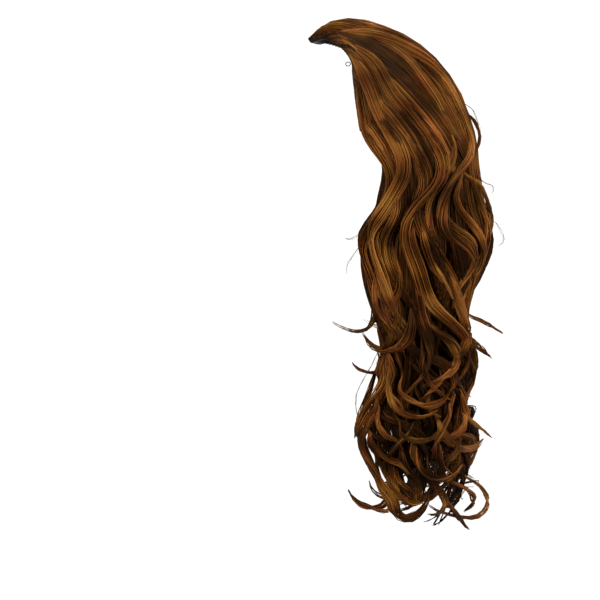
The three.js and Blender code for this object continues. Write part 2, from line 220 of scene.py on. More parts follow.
@dataclass(frozen=True)
class HeadForm:
    """Ellipsoid of the wearer's head with the front edge and the nape edge of the cap on it."""

    half: tuple[float, float, float] = (74.0, 94.0, 93.0)
    set_back: float = 2.0
    edge_top_y: float = -43.0
    edge_side_y: float = 17.0
    edge_bend_turn: float = 64.0
    edge_end_turn: float = 104.0
    edge_drift: float = 0.22
    nape_z: float = -150.0
    nape_corner_rise: float = 22.0
    nape_corner_plan: float = 62.0
    line_steps: int = 13

    @property
    def middle(self) -> Array:
        """Returns the middle of the head."""
        return np.array([0.0, self.set_back, -self.half[2]])

    def edge(self, turn: Array) -> Array:
        """Finds points on the front edge.

        Args:
            turn: Turn of each point.

        Returns:
            Unit directions from the middle of the head.
        """
        away = np.abs(turn)
        swept = lerp(self.edge_top_y, self.edge_side_y, smooth(away, 0.0, self.edge_bend_turn))
        y = swept + self.edge_drift * np.maximum(0.0, away - self.edge_bend_turn)
        back = (y - self.set_back) / self.half[1]
        rim = np.sqrt(1.0 - back * back)
        angle = np.radians(turn)
        return np.stack([rim * np.sin(angle), back, rim * np.cos(angle)], -1)

    def nape(self, turn: Array) -> Array:
        """Finds the points on the nape edge that lines from the front edge run to.

        Args:
            turn: Turn at which each line starts.

        Returns:
            Unit directions from the middle of the head.
        """
        share = turn / self.edge_end_turn
        height = (self.nape_z + self.nape_corner_rise * share * share + self.half[2]) / self.half[2]
        rim = np.sqrt(1.0 - height * height)
        plan = np.radians(share * self.nape_corner_plan)
        return np.stack([rim * np.sin(plan), rim * np.cos(plan), height], -1)

    def point(self, turn: Array, share: Array, lift: Array) -> Array:
        """Places points on lines from the front edge to the nape.

        Args:
            turn: Turn at which each line starts.
            share: Share of the way to the nape.
            lift: Height above the head.

        Returns:
            The points.
        """
        turn, share, lift = np.broadcast_arrays(turn, share, lift)
        start, end = self.edge(turn), self.nape(turn)
        angle = np.arccos(np.clip((start * end).sum(-1), -1.0, 1.0))
        a = np.sin((1.0 - share) * angle) / np.sin(angle)
        b = np.sin(share * angle) / np.sin(angle)
        direction = start * a[..., None] + end * b[..., None]
        half = np.asarray(self.half)
        normal = unit(direction / half)
        return direction * half + self.middle + normal * lift[..., None]

    def line_length(self, turn: Array) -> Array:
        """Measures lines from the front edge to the nape.

        Args:
            turn: Turn at which each line starts.

        Returns:
            The length of each line.
        """
        shares = even(self.line_steps)
        points = self.point(np.asarray(turn)[..., None], shares, 0.0)
        return np.linalg.norm(np.diff(points, axis=-2), axis=-1).sum(-1)


@dataclass(frozen=True)
class CrownForm:
    """Thickness of the combed hair over the head, from the front edge to where it leaves the head."""

    along: tuple[float, ...] = (0.0, 0.07, 0.16, 0.27, 0.41, 0.55, 0.77, 1.0)
    top: tuple[float, ...] = (5.0, 9.5, 14.0, 14.8, 13.4, 15.8, 24.5, 41.0)
    side: tuple[float, ...] = (4.5, 6.0, 8.0, 10.0, 12.0, 14.0, 16.0, 18.0)
    ease: float = 1.4
    leaves_top: float = 0.78
    leaves_side: float = 0.15
    least_lift: float = 3.2

    def leaves(self, turn: Array, head: HeadForm) -> Array:
        """Returns the share of each line at which the hair leaves the head."""
        return lerp(self.leaves_top, self.leaves_side, np.abs(turn) / head.edge_end_turn)

    def lift(self, turn: Array, along: Array, head: HeadForm) -> Array:
        """Returns the height of the hair's surface above the head."""
        aside = (np.abs(turn) / head.edge_end_turn) ** self.ease
        return lerp(flowing(self.along, self.top, along), flowing(self.along, self.side, along), aside)

    def point(self, turn: Array, along: Array, depth: Array, head: HeadForm) -> Array:
        """Places points in the combed hair, at a depth under its surface."""
        lift = np.maximum(self.least_lift, self.lift(turn, along, head) - depth)
        return head.point(turn, along * self.leaves(turn, head), lift)


@dataclass(frozen=True)
class FallForm:
    """Outline of the hanging hair seen from above, level by level."""

    down: tuple[float, ...] = (165.0, 196.0, 230.0, 315.0, 373.0, 446.0, 500.0, 560.0)
    centre_y: tuple[float, ...] = (88.0, 88.0, 81.0, 76.0, 81.0, 71.0, 70.0, 72.0)
    half_x: tuple[float, ...] = (88.0, 93.0, 101.0, 92.0, 90.0, 95.0, 86.0, 74.0)
    half_y: tuple[float, ...] = (60.0, 65.0, 81.0, 60.0, 58.0, 73.0, 66.0, 60.0)
    plan_end: float = 125.0
    plan_per_turn: float = 125.0 / 104.0
    top: float = -151.0

    def point(self, plan: Array, ring: Array, z: Array) -> Array:
        """Places points in the outline.

        Args:
            plan: Angle in degrees seen from above, 0 at the middle of the back.
            ring: Share of the way from the axis to the rim.
            z: Height.

        Returns:
            The points.
        """
        plan, ring, z = np.broadcast_arrays(np.radians(plan), ring, z)
        x = ring * eased(self.down, self.half_x, -z) * np.sin(plan)
        y = ring * eased(self.down, self.half_y, -z) * np.cos(plan) + eased(self.down, self.centre_y, -z)
        return np.stack([x, y, z], -1)


@dataclass(frozen=True)
class Lock:
    """One hanging lock: its place, size and waves."""

    turn: float
    ring: float
    end: float
    wide: float
    sway: float
    waves: float
    phase: float
    curl: float
    flick: float

    @property
    def section(self) -> Section:
        """Returns the hanging section that the lock belongs to."""
        aside = Section.LEFT if self.turn > 0.0 else Section.RIGHT
        return Section.BACK if abs(self.turn) < BACK_TURN else aside

    @property
    def at_face(self) -> bool:
        """Returns whether the lock hangs beside the face."""
        return abs(self.turn) > FACE_TURN

    @property
    def thin(self) -> bool:
        """Returns whether the lock is a thin one."""
        return self.wide < THIN_LOCK

    @property
    def reaches(self) -> tuple[float, float]:
        """Gives the shares of the lock's length between which its wisps end.

        Returns:
            The least and the greatest share.
        """
        if self.thin:
            return 0.6, 0.8
        if self.at_face:
            return 0.7, 0.86
        if self.section is Section.BACK:
            return 0.91, 1.0
        return (0.72, 0.92) if abs(self.turn) > SIDE_TURN else (0.88, 0.99)

    @property
    def calm(self) -> float:
        """Returns the share of the full wave that the lock's wisps have."""
        behind = 0.85 if self.section is Section.BACK else 1.0
        return 0.55 if self.at_face else behind


LOCKS: tuple[Lock, ...] = (
    Lock(103, 0.95, -322, 17, 6, 0.7, 320, 4, 44),
    Lock(98, 0.90, -524, 32, 9, 1.8, 320, 10, 24),
    Lock(84, 0.86, -538, 32, 11, 2.0, 320, 16, 26),
    Lock(67, 0.84, -540, 32, 12, 2.5, 300, 20, 0),
    Lock(51, 0.84, -526, 32, 12, 2.8, 330, 20, 0),
    Lock(35, 0.84, -540, 31, 12, 3.0, 350, 20, -10),
    Lock(19, 0.84, -530, 31, 12, 3.2, 10, 18, -16),
    Lock(3, 0.84, -520, 31, 12, 3.4, 31, 14, -12),
    Lock(-13, 0.84, -542, 31, 12, 3.2, 50, 18, -8),
    Lock(-29, 0.84, -520, 31, 12, 3.0, 20, 20, 0),
    Lock(-46, 0.84, -545, 32, 12, 2.7, 350, 18, 0),
    Lock(-64, 0.84, -512, 32, 12, 2.5, 320, 20, 0),
    Lock(-82, 0.86, -538, 31, 11, 2.0, 300, 16, 24),
    Lock(-98, 0.90, -500, 30, 9, 1.8, 325, 10, 18),
)


@dataclass(frozen=True)
class LockForm:
    """Shape that all locks share: how their waves grow and how they taper."""

    depth: float = 0.81
    wave_ease: float = 1.8
    sway_full: float = 0.3
    sway_growth: float = 0.6
    outward_sway: float = 0.55
    curl_starts: float = 0.5
    flick_starts: float = 0.7
    top_share: float = 0.84
    taper_starts: float = 0.6
    taper: float = 0.62
    look_ahead: float = 0.01
    steadied: float = 1.2

    def centre(self, lock: Lock, down: Array, fall: FallForm) -> Array:
        """Draws the middle line of a lock.

        Args:
            lock: The lock.
            down: Shares of the way down.
            fall: Outline of the hanging hair.

        Returns:
            Points on the line.
        """
        down = np.asarray(down, float)
        plan = lock.turn * fall.plan_per_turn
        a = math.radians(plan)
        outward = np.array([math.sin(a), math.cos(a), 0.0])
        sideways = np.array([outward[1], -outward[0], 0.0]) * (1.0 if lock.turn >= 0.0 else -1.0)
        points = fall.point(plan, lock.ring, lerp(fall.top, lock.end, down))
        phase = math.radians(lock.phase) + FULL_TURN * lock.waves * np.maximum(down, 0.0) ** self.wave_ease
        sway = lock.sway * smooth(down, 0.0, self.sway_full) * (1.0 + self.sway_growth * down)
        points = points + outward * (self.outward_sway * sway * np.sin(phase))[..., None]
        points = points + sideways * (sway * np.cos(phase))[..., None]
        points[..., 2] += lock.curl * smooth(down, self.curl_starts, 1.0) * np.sin(phase)
        points[..., 1] -= lock.flick * smooth(down, self.flick_starts, 1.0) ** 2
        return points

    def frame_at(
        self, lock: Lock, down: Array, fall: FallForm, set_back: float
    ) -> tuple[Array, Array, Array]:
        """Draws the middle line of a lock with directions that stay steady through its curls.

        Args:
            lock: The lock.
            down: Shares of the way down.
            fall: Outline of the hanging hair.
            set_back: How far back the axis lies that the hair faces away from.

        Returns:
            Points on the line, and the sideways and the outward direction at each.
        """
        step = self.look_ahead
        centre = self.centre(lock, down, fall)
        along = unit(self.centre(lock, down + step, fall) - self.centre(lock, down - step, fall))
        steady = unit(along - np.array([0.0, 0.0, self.steadied]))
        out = centre * np.array([1.0, 1.0, 0.0]) - np.array([0.0, set_back, 0.0])
        side = unit(np.cross(steady, out))
        return centre, side, np.cross(side, steady)

    def size(self, down: Array) -> Array:
        """Returns half the size of a lock's section, as a share of its full width."""
        full = lerp(self.top_share, 1.0, smooth(down, 0.0, self.sway_full))
        return 0.5 * full * (1.0 - self.taper * smooth(down, self.taper_starts, 1.0))


def tube_rings(points: Array, radius: Array, sides: int) -> Array:
    """Sets a ring of points round each point of each strand.

    Args:
        points: Middle lines, strands by points by 3.
        radius: Radius at each point.
        sides: Number of points in a ring.

    Returns:
        Strands by points by sides by 3.
    """
    askew = np.array([0.31, 0.95, 0.05])
    along = unit(np.gradient(points, axis=1))
    u = np.empty(points.shape)
    u[:, 0] = unit(np.cross(along[:, 0], askew))
    for i in range(1, points.shape[1]):
        lean = (along[:, i] * u[:, i - 1]).sum(-1, keepdims=True)
        u[:, i] = unit(u[:, i - 1] - along[:, i] * lean)
    v = np.cross(along, u)
    angle = FULL_TURN * np.arange(sides) / sides
    ring = u[..., None, :] * np.cos(angle)[:, None] + v[..., None, :] * np.sin(angle)[:, None]
    return points[..., None, :] + ring * radius[..., None, None]


def fill_mesh(mesh: bpy.types.Mesh, co: Array, loops: Array, sizes: Array) -> None:
    """Fills an empty mesh.

    Args:
        mesh: The mesh.
        co: Points, in metres.
        loops: Point of each corner, face after face.
        sizes: Number of corners of each face.
    """
    mesh.vertices.add(len(co))
    mesh.vertices.foreach_set("co", co.astype(np.float32).ravel())
    mesh.loops.add(len(loops))
    mesh.loops.foreach_set("vertex_index", loops.astype(np.int32))
    mesh.polygons.add(len(sizes))
    starts = np.concatenate([[0], np.cumsum(sizes)[:-1]])
    mesh.polygons.foreach_set("loop_start", starts.astype(np.int32))
    mesh.update(calc_edges=True)
    mesh.validate()


@dataclass
class StrandMesh:
    """Tubes of hair or thread that become one mesh, with a tone for each strand."""

    name: str
    sides: int = 3
    strip_wide: float = 0.9
    strip_edge: float = 0.05
    spot: float = 0.01
    groups: list[tuple[Array, Array, Array]] = field(default_factory=list)

    def add(self, points: Array, radius: Array | float, tone: Array) -> None:
        """Adds tubes that have the same number of points.

        Args:
            points: Middle lines, strands by points by 3, in millimetres.
            radius: Radius at each point, or of each strand.
            tone: Tone at each point, or of each strand, from 0 (dark) to 1 (light).
        """
        radius = np.broadcast_to(radius, points.shape[:2])
        tone = np.reshape(tone, (len(points), -1))
        self.groups.append((points, radius, np.broadcast_to(tone, points.shape[:2])))

    def faces(self, strands: int, steps: int, base: int) -> list[Array]:
        """Lists the faces of tubes and of their two ends.

        Args:
            strands: Number of tubes.
            steps: Rings in a tube.
            base: Number of points before the first tube.

        Returns:
            Corners of the sides, of the first ends and of the last ends.
        """
        sides = self.sides
        start = base + np.arange(strands)[:, None, None] * steps * sides
        ring = start + np.arange(steps - 1)[None, :, None] * sides
        s = np.arange(sides)[None, None, :]
        t = (s + 1) % sides
        quads = np.stack([ring + s, ring + t, ring + sides + t, ring + sides + s], -1)
        first = start[:, 0] + np.array([0, *range(sides - 1, 0, -1)])
        last = start[:, 0] + (steps - 1) * sides + np.arange(sides)
        return [quads.reshape(-1), first.reshape(-1), last.reshape(-1)]

    def strips(self, cell: Array, steps: int, columns: int, rows: int) -> list[Array]:
        """Lays tubes out as strips of the UV map.

        Args:
            cell: Number of each tube's cell in the map.
            steps: Rings in a tube.
            columns: Cells across the map.
            rows: Cells up the map.

        Returns:
            Map points of the sides, of the first ends and of the last ends.
        """
        sides = self.sides
        x0, y0 = (cell % columns) / columns, (cell // columns) / rows
        r = np.arange(steps - 1)[None, :, None] * sides
        s = np.arange(sides)[None, None, :]
        across = np.stack([s, s + 1, s + 1, s], -1) / sides * self.strip_wide + self.strip_edge
        up = np.stack([r, r, r + sides, r + sides], -1) / (sides * (steps - 1))
        across, up = np.broadcast_arrays(across, up * self.strip_wide + self.strip_edge)
        place = x0[:, None, None, None] + across / columns, y0[:, None, None, None] + up / rows
        angle = FULL_TURN * np.arange(sides) / sides
        spot = np.stack([0.5 + self.spot * np.cos(angle), 0.5 + self.spot * np.sin(angle)], -1)
        ends = np.stack([x0, y0], -1)[:, None, :] + spot * np.array([1.0 / columns, self.strip_edge / rows])
        return [np.stack(place, -1).reshape(-1, 2), ends[:, ::-1].reshape(-1, 2), ends.reshape(-1, 2)]

    def build(self) -> bpy.types.Object:
        """Makes the mesh object, with its tone attribute and a strip of the UV map for each strand.

        Returns:
            The object, in the scene.
        """
        count = sum(len(points) for points, _, _ in self.groups)
        columns = max(1, math.ceil(math.sqrt(count / 2.0)))
        rows = math.ceil(count / columns)
        co, tones, loops, sizes, uvs = [], [], [], [], []
        base, done = 0, 0
        for points, radius, tone in self.groups:
            strands, steps = points.shape[:2]
            co.append(tube_rings(points, radius, self.sides).reshape(-1, 3) * MM)
            tones.append(np.repeat(tone.reshape(-1), self.sides))
            loops += self.faces(strands, steps, base)
            sizes += [np.full(strands * (steps - 1) * self.sides, 4), np.full(2 * strands, self.sides)]
            uvs += self.strips(done + np.arange(strands), steps, columns, rows)
            base += strands * steps * self.sides
            done += strands
        mesh = bpy.data.meshes.new(self.name)
        fill_mesh(mesh, np.concatenate(co), np.concatenate(loops), np.concatenate(sizes))
        layer = mesh.attributes.new("tone", "FLOAT", "POINT")
        layer.data.foreach_set("value", np.concatenate(tones).astype(np.float32))
        layer = mesh.uv_layers.new(name="OFBake")
        layer.data.foreach_set("uv", np.concatenate(uvs).astype(np.float32).ravel())
        mesh.polygons.foreach_set("use_smooth", np.ones(len(mesh.polygons), bool))
        obj = bpy.data.objects.new(self.name, mesh)
        bpy.context.scene.collection.objects.link(obj)
        return obj


@dataclass(frozen=True)
class Wisp:
    """A small flat bunch of strands in a lock that waves as one."""

    a: float
    b: float
    amp: float
    turns: float
    phase: float
    twist: float
    end: float
    tone: float


@dataclass
class HairForm:
    """All the hair: combed over the crown, then hanging in locks."""

    head: HeadForm = field(default_factory=HeadForm)
    crown: CrownForm = field(default_factory=CrownForm)
    fall: FallForm = field(default_factory=FallForm)
    shape: LockForm = field(default_factory=LockForm)
    turn_half: float = 9.4
    joins: float = 0.06
    wisp_ring: float = 0.54
    wisp_wide: float = 0.42
    wisp_flat: float = 0.55
    wisp_tones: tuple[float, ...] = (-0.28, -0.08, 0.05, 0.24)
    wisp_turns: float = 2.9
    inner_end: float = 0.94
    amp_low: float = 6.5
    amp_high: float = 13.0
    full_wide: float = 32.0
    gather: float = 0.4
    tip_pull: float = 0.5
    tip_curl: float = 0.13
    tip_swing: float = 0.35
    sheet_turn: float = 1.1
    face_limit: float = 0.6
    inward: float = 0.7
    wave_depth: float = 0.7
    ripple_size: float = 1.3
    seed: int = 11
    rng: np.random.Generator = field(init=False)

    def __post_init__(self) -> None:
        """Starts the random numbers."""
        self.rng = np.random.default_rng(self.seed)

    def wisps(self, lock: Lock, count: int, tone: float) -> list[Wisp]:
        """Parts a lock into wisps, all but one of them round its rim.

        Args:
            lock: The lock.
            count: Number of wisps.
            tone: Mean tone of the lock.

        Returns:
            The wisps.
        """
        made = []
        for i in range(count):
            angle = FULL_TURN * (i + self.rng.uniform(-0.25, 0.25)) / max(1, count - 1)
            reach = self.wisp_ring if i else 0.0
            a, b = reach * math.cos(angle), reach * math.sin(angle)
            made.append(
                Wisp(
                    a=a,
                    b=b,
                    amp=self.rng.uniform(self.amp_low, self.amp_high) * lock.calm,
                    turns=self.rng.normal(self.wisp_turns, 0.3),
                    phase=math.radians(lock.phase) + self.rng.normal(0.0, 1.0),
                    twist=self.rng.normal(0.0, 0.9),
                    end=self.rng.uniform(*lock.reaches) * (self.inner_end if b < -0.1 else 1.0),
                    tone=tone + float(self.rng.choice(self.wisp_tones) + self.rng.normal(0.0, 0.05)),
                )
            )
        return made

    def hanging(self, lock: Lock, wisp: Wisp, da: Array, db: Array, down: Array, share: Array) -> Array:
        """Draws strands in the hanging part of a wisp.

        Args:
            lock: The lock.
            wisp: The wisp in the lock.
            da: Sideways place of each strand in the wisp, from -1 to 1.
            db: Outward place of each strand in the wisp.
            down: Shares of the lock's way down, strands by points.
            share: Share of the strands' own way down at each point.

        Returns:
            Strands by points by 3.
        """
        centre, side, face = self.shape.frame_at(lock, down, self.fall, self.head.set_back)
        half = 0.5 * lock.wide
        gather = 1.0 - self.gather * smooth(down, 0.25, 0.9)
        angle = wisp.twist * smooth(down, 0.05, 1.0)
        wa = (wisp.a * np.cos(angle) - wisp.b * np.sin(angle)) * gather
        wb = (wisp.a * np.sin(angle) + wisp.b * np.cos(angle)) * gather
        drawn_in = 1.0 - 0.34 * smooth(down, 0.05, 0.5) - self.tip_pull * smooth(share, 0.74, 1.0)
        close = self.wisp_wide * drawn_in
        flat = lerp(1.0, self.wisp_flat, smooth(down, 0.05, 0.4))
        turn = self.sheet_turn * np.sin(wisp.phase + 5.0 * down) * smooth(down, 0.1, 0.5)
        sa, sb = da[:, None] * close, db[:, None] * close * flat
        a = wa + sa * np.cos(turn) - sb * np.sin(turn)
        b = wb + sa * np.sin(turn) + sb * np.cos(turn)
        curled = np.maximum(down, 0.0) ** 1.35 + self.tip_curl * smooth(down, 0.74, 1.02)
        phase = wisp.phase + FULL_TURN * wisp.turns * curled
        grown = lerp(2.0, wisp.amp, smooth(down, 0.04, 0.52))
        amp = grown * smooth(down, 0.0, 0.15) * lock.wide / self.full_wide
        if abs(lock.turn) < SIDE_TURN:
            amp = amp * (1.0 + self.tip_swing * smooth(share, 0.55, 1.0))
        aside = a * half + amp * np.cos(phase)
        if lock.at_face:
            ahead, limit = aside * np.sign(lock.turn), self.face_limit * half
            aside = np.where(ahead > 0.0, limit * np.tanh(ahead / limit), ahead) * np.sign(lock.turn)
        inward = self.inward * smooth(down, 0.15, 0.55)
        outward = b * half * self.shape.depth + self.wave_depth * amp * (np.sin(phase) - inward)
        return centre + side * aside[..., None] + face * outward[..., None]

    def roots(self, rooted: Rooted, turn: Array, depth: Array, over: int) -> tuple[Array, Array]:
        """Draws the upper part of strands, from their roots to where they leave the head.

        Args:
            rooted: Where the strands start.
            turn: Turn of each strand.
            depth: Depth of each strand under the surface.
            over: Number of points over the crown.

        Returns:
            Points, strands by points by 3, and the direction in which each strand goes on.
        """
        count = len(turn)
        if rooted is Rooted.NAPE:
            back = self.rng.uniform(0.8, 0.99, count)
            root = self.head.point(turn, back, self.crown.least_lift - 0.4)
            lead = self.head.point(turn, back + 0.05, self.crown.least_lift + 1.0) - root
            return root[:, None], lead
        begin = np.zeros(count)
        if rooted is Rooted.CROWN:
            begin = self.rng.uniform(0.06, 0.75, count)
        along = lerp(begin[:, None], 1.0, even(over) ** 1.15)
        under = depth[:, None] * lerp(0.12, 1.0, along**1.3)
        if rooted is Rooted.CROWN:
            under = under + 4.0 * (1.0 - smooth(even(over), 0.0, 0.5))
        top = self.crown.point(turn[:, None], along, under, self.head)
        return top, top[:, -1] - top[:, -2]

    def strands(
        self, lock: Lock, wisp: Wisp, count: int, rooted: Rooted, steps: tuple[int, int, int]
    ) -> Array:
        """Draws strands of a wisp from their roots to their tips.

        Args:
            lock: The lock.
            wisp: The wisp in the lock.
            count: Number of strands.
            rooted: Where the strands start.
            steps: Number of points over the crown, in the bend and in the hanging part.

        Returns:
            Strands by points by 3.
        """
        over, bend, hang = steps
        reach = np.sqrt(self.rng.uniform(0.05, 1.0, count))
        around = self.rng.uniform(0.0, FULL_TURN, count)
        da, db = reach * np.cos(around), reach * np.sin(around)
        a0 = np.clip(wisp.a + da * self.wisp_wide, -1.0, 1.0)
        b0 = np.clip(wisp.b + db * self.wisp_wide, -1.0, 1.0)
        edge = self.head.edge_end_turn
        turn = np.clip(lock.turn + a0 * self.turn_half, -edge, edge)
        depth = np.maximum(0.0, np.sqrt(1.0 - a0 * a0) - b0) * 0.5 * lock.wide * self.shape.depth
        end = wisp.end * (1.0 - 0.1 * self.rng.uniform(0.0, 1.0, count) ** 1.6)
        share = even(hang) ** 0.68
        low = self.hanging(lock, wisp, da, db, lerp(self.joins, end[:, None], share), share)
        top, lead = self.roots(rooted, turn, depth, over)
        return self.joined(top, low, lead, bend)

    def joined(self, top: Array, low: Array, lead: Array, bend: int) -> Array:
        """Joins the upper and the hanging part of strands with a smooth bend, and ripples them.

        Args:
            top: Points of the upper part.
            low: Points of the hanging part.
            lead: Direction in which each strand leaves the upper part.
            bend: Number of points in the bend.

        Returns:
            Strands by points by 3.
        """
        span = np.linalg.norm(low[:, 0] - top[:, -1], axis=-1)[:, None]
        arrive = unit(low[:, 1] - low[:, 0]) * span
        turned = hermite(top[:, -1], low[:, 0], unit(lead) * span, arrive, bend)
        points = np.concatenate([top, turned, low], axis=1)
        return points + self.ripple(points)

    def ripple(self, points: Array) -> Array:
        """Makes small smooth offsets that keep strands from lying exactly side by side.

        Args:
            points: Strands by points by 3.

        Returns:
            Offset of each point.
        """
        count, steps = points.shape[:2]
        t = even(steps)[None, :, None]
        grow = lerp(0.25, 1.0, smooth(t, 0.15, 0.75)) * (1.0 - 0.6 * smooth(t, 0.8, 1.0))
        total = np.zeros(points.shape)
        for cycles in (1.7, 4.3):
            phase = self.rng.uniform(0.0, FULL_TURN, (count, 1, 3))
            speed = cycles * self.rng.uniform(0.7, 1.3, (count, 1, 3))
            total += np.sin(phase + FULL_TURN * speed * t) / cycles
        return total * grow * self.ripple_size

    def surface(self) -> Array:
        """Spreads points over the outer surface of the hair.

        Returns:
            The points.
        """
        edge, plan_end, level = self.head.edge_end_turn, self.fall.plan_end, -self.fall.down[0]
        turn, along = np.meshgrid(np.linspace(-edge, edge, 105), even(40))
        crown = self.crown.point(turn, along, 0.0, self.head)
        turn, share = np.meshgrid(np.linspace(-edge, edge, 105), even(16))
        start = self.crown.point(turn, 1.0, 0.0, self.head)
        end = self.fall.point(turn * self.fall.plan_per_turn, 1.0, level)
        drop = lerp(start, end, smooth(share, 0.0, 1.0)[..., None])
        drop[..., 2] = lerp(start[..., 2], end[..., 2], share)
        plan, z = np.meshgrid(np.linspace(-plan_end, plan_end, 126), np.linspace(level, -556.0, 100))
        fall = self.fall.point(plan, 1.0, z)
        return np.concatenate([part.reshape(-1, 3) for part in (crown, drop, fall)])


@dataclass(frozen=True)
class SideView:
    """The viewing direction in which the wave locks were measured, also the camera's."""

    azimuth: float = 102.0
    distance: float = 2300.0
    middle: tuple[float, float] = (-53.8, -300.2)
    seen_wide: float = 672.0
    easing: float = 16.0
    nearby: float = 5.0

    def axes(self) -> tuple[Array, Array, Array]:
        """Gives the axes of the view.

        Returns:
            The directions to the right and towards the viewer, and the point looked at.
        """
        a = math.radians(self.azimuth)
        right = np.array([math.cos(a), math.sin(a), 0.0])
        back = np.array([math.sin(a), -math.cos(a), 0.0])
        return right, back, right * self.middle[0] + np.array([0.0, 0.0, self.middle[1]])

    def place(self, flat: Array, cloud: Array, lift: float) -> Array:
        """Lays a measured path on the surface of the hair.

        Args:
            flat: Points in the side view, across and up.
            cloud: Points spread over the surface.
            lift: Height above the surface, towards the viewer.

        Returns:
            The points in space.
        """
        right, back, target = self.axes()
        rel = cloud - target
        near = rel @ back
        shrink = 1.0 - near / self.distance
        seen = np.stack([(rel @ right) / shrink, rel[:, 2] / shrink], -1)
        want = flat - np.array(self.middle)
        gap = np.linalg.norm(want[:, None] - seen[None], axis=-1)
        reach = np.maximum(self.nearby, gap.min(1) + 1.0)
        depth = np.where(gap <= reach[:, None], near[None], -1e9).max(1)
        length = np.linalg.norm(np.diff(flat, axis=0), axis=1).mean()
        spread = self.easing / length
        half = int(3 * spread)
        kernel = np.exp(-0.5 * (np.arange(-half, half + 1) / spread) ** 2)
        depth = np.convolve(np.pad(depth, half, mode="edge"), kernel / kernel.sum(), mode="valid") + lift
        scale = 1.0 - depth / self.distance
        flat3 = right * want[:, :1] + np.array([0.0, 0.0, 1.0]) * want[:, 1:]
        return target + flat3 * scale[:, None] + back * depth[:, None]


@dataclass(frozen=True)
class WaveLock:
    """A lock on the surface, along a path measured in the side view."""

    wide: float
    lift: float
    tone: float
    path: Path

    @property
    def points(self) -> Array:
        """Returns the path as an array."""
        return np.asarray(self.path, float)

    @property
    def from_crown(self) -> bool:
        """Returns whether the lock starts on the crown."""
        return self.path[0][1] > CROWN_ROOTS


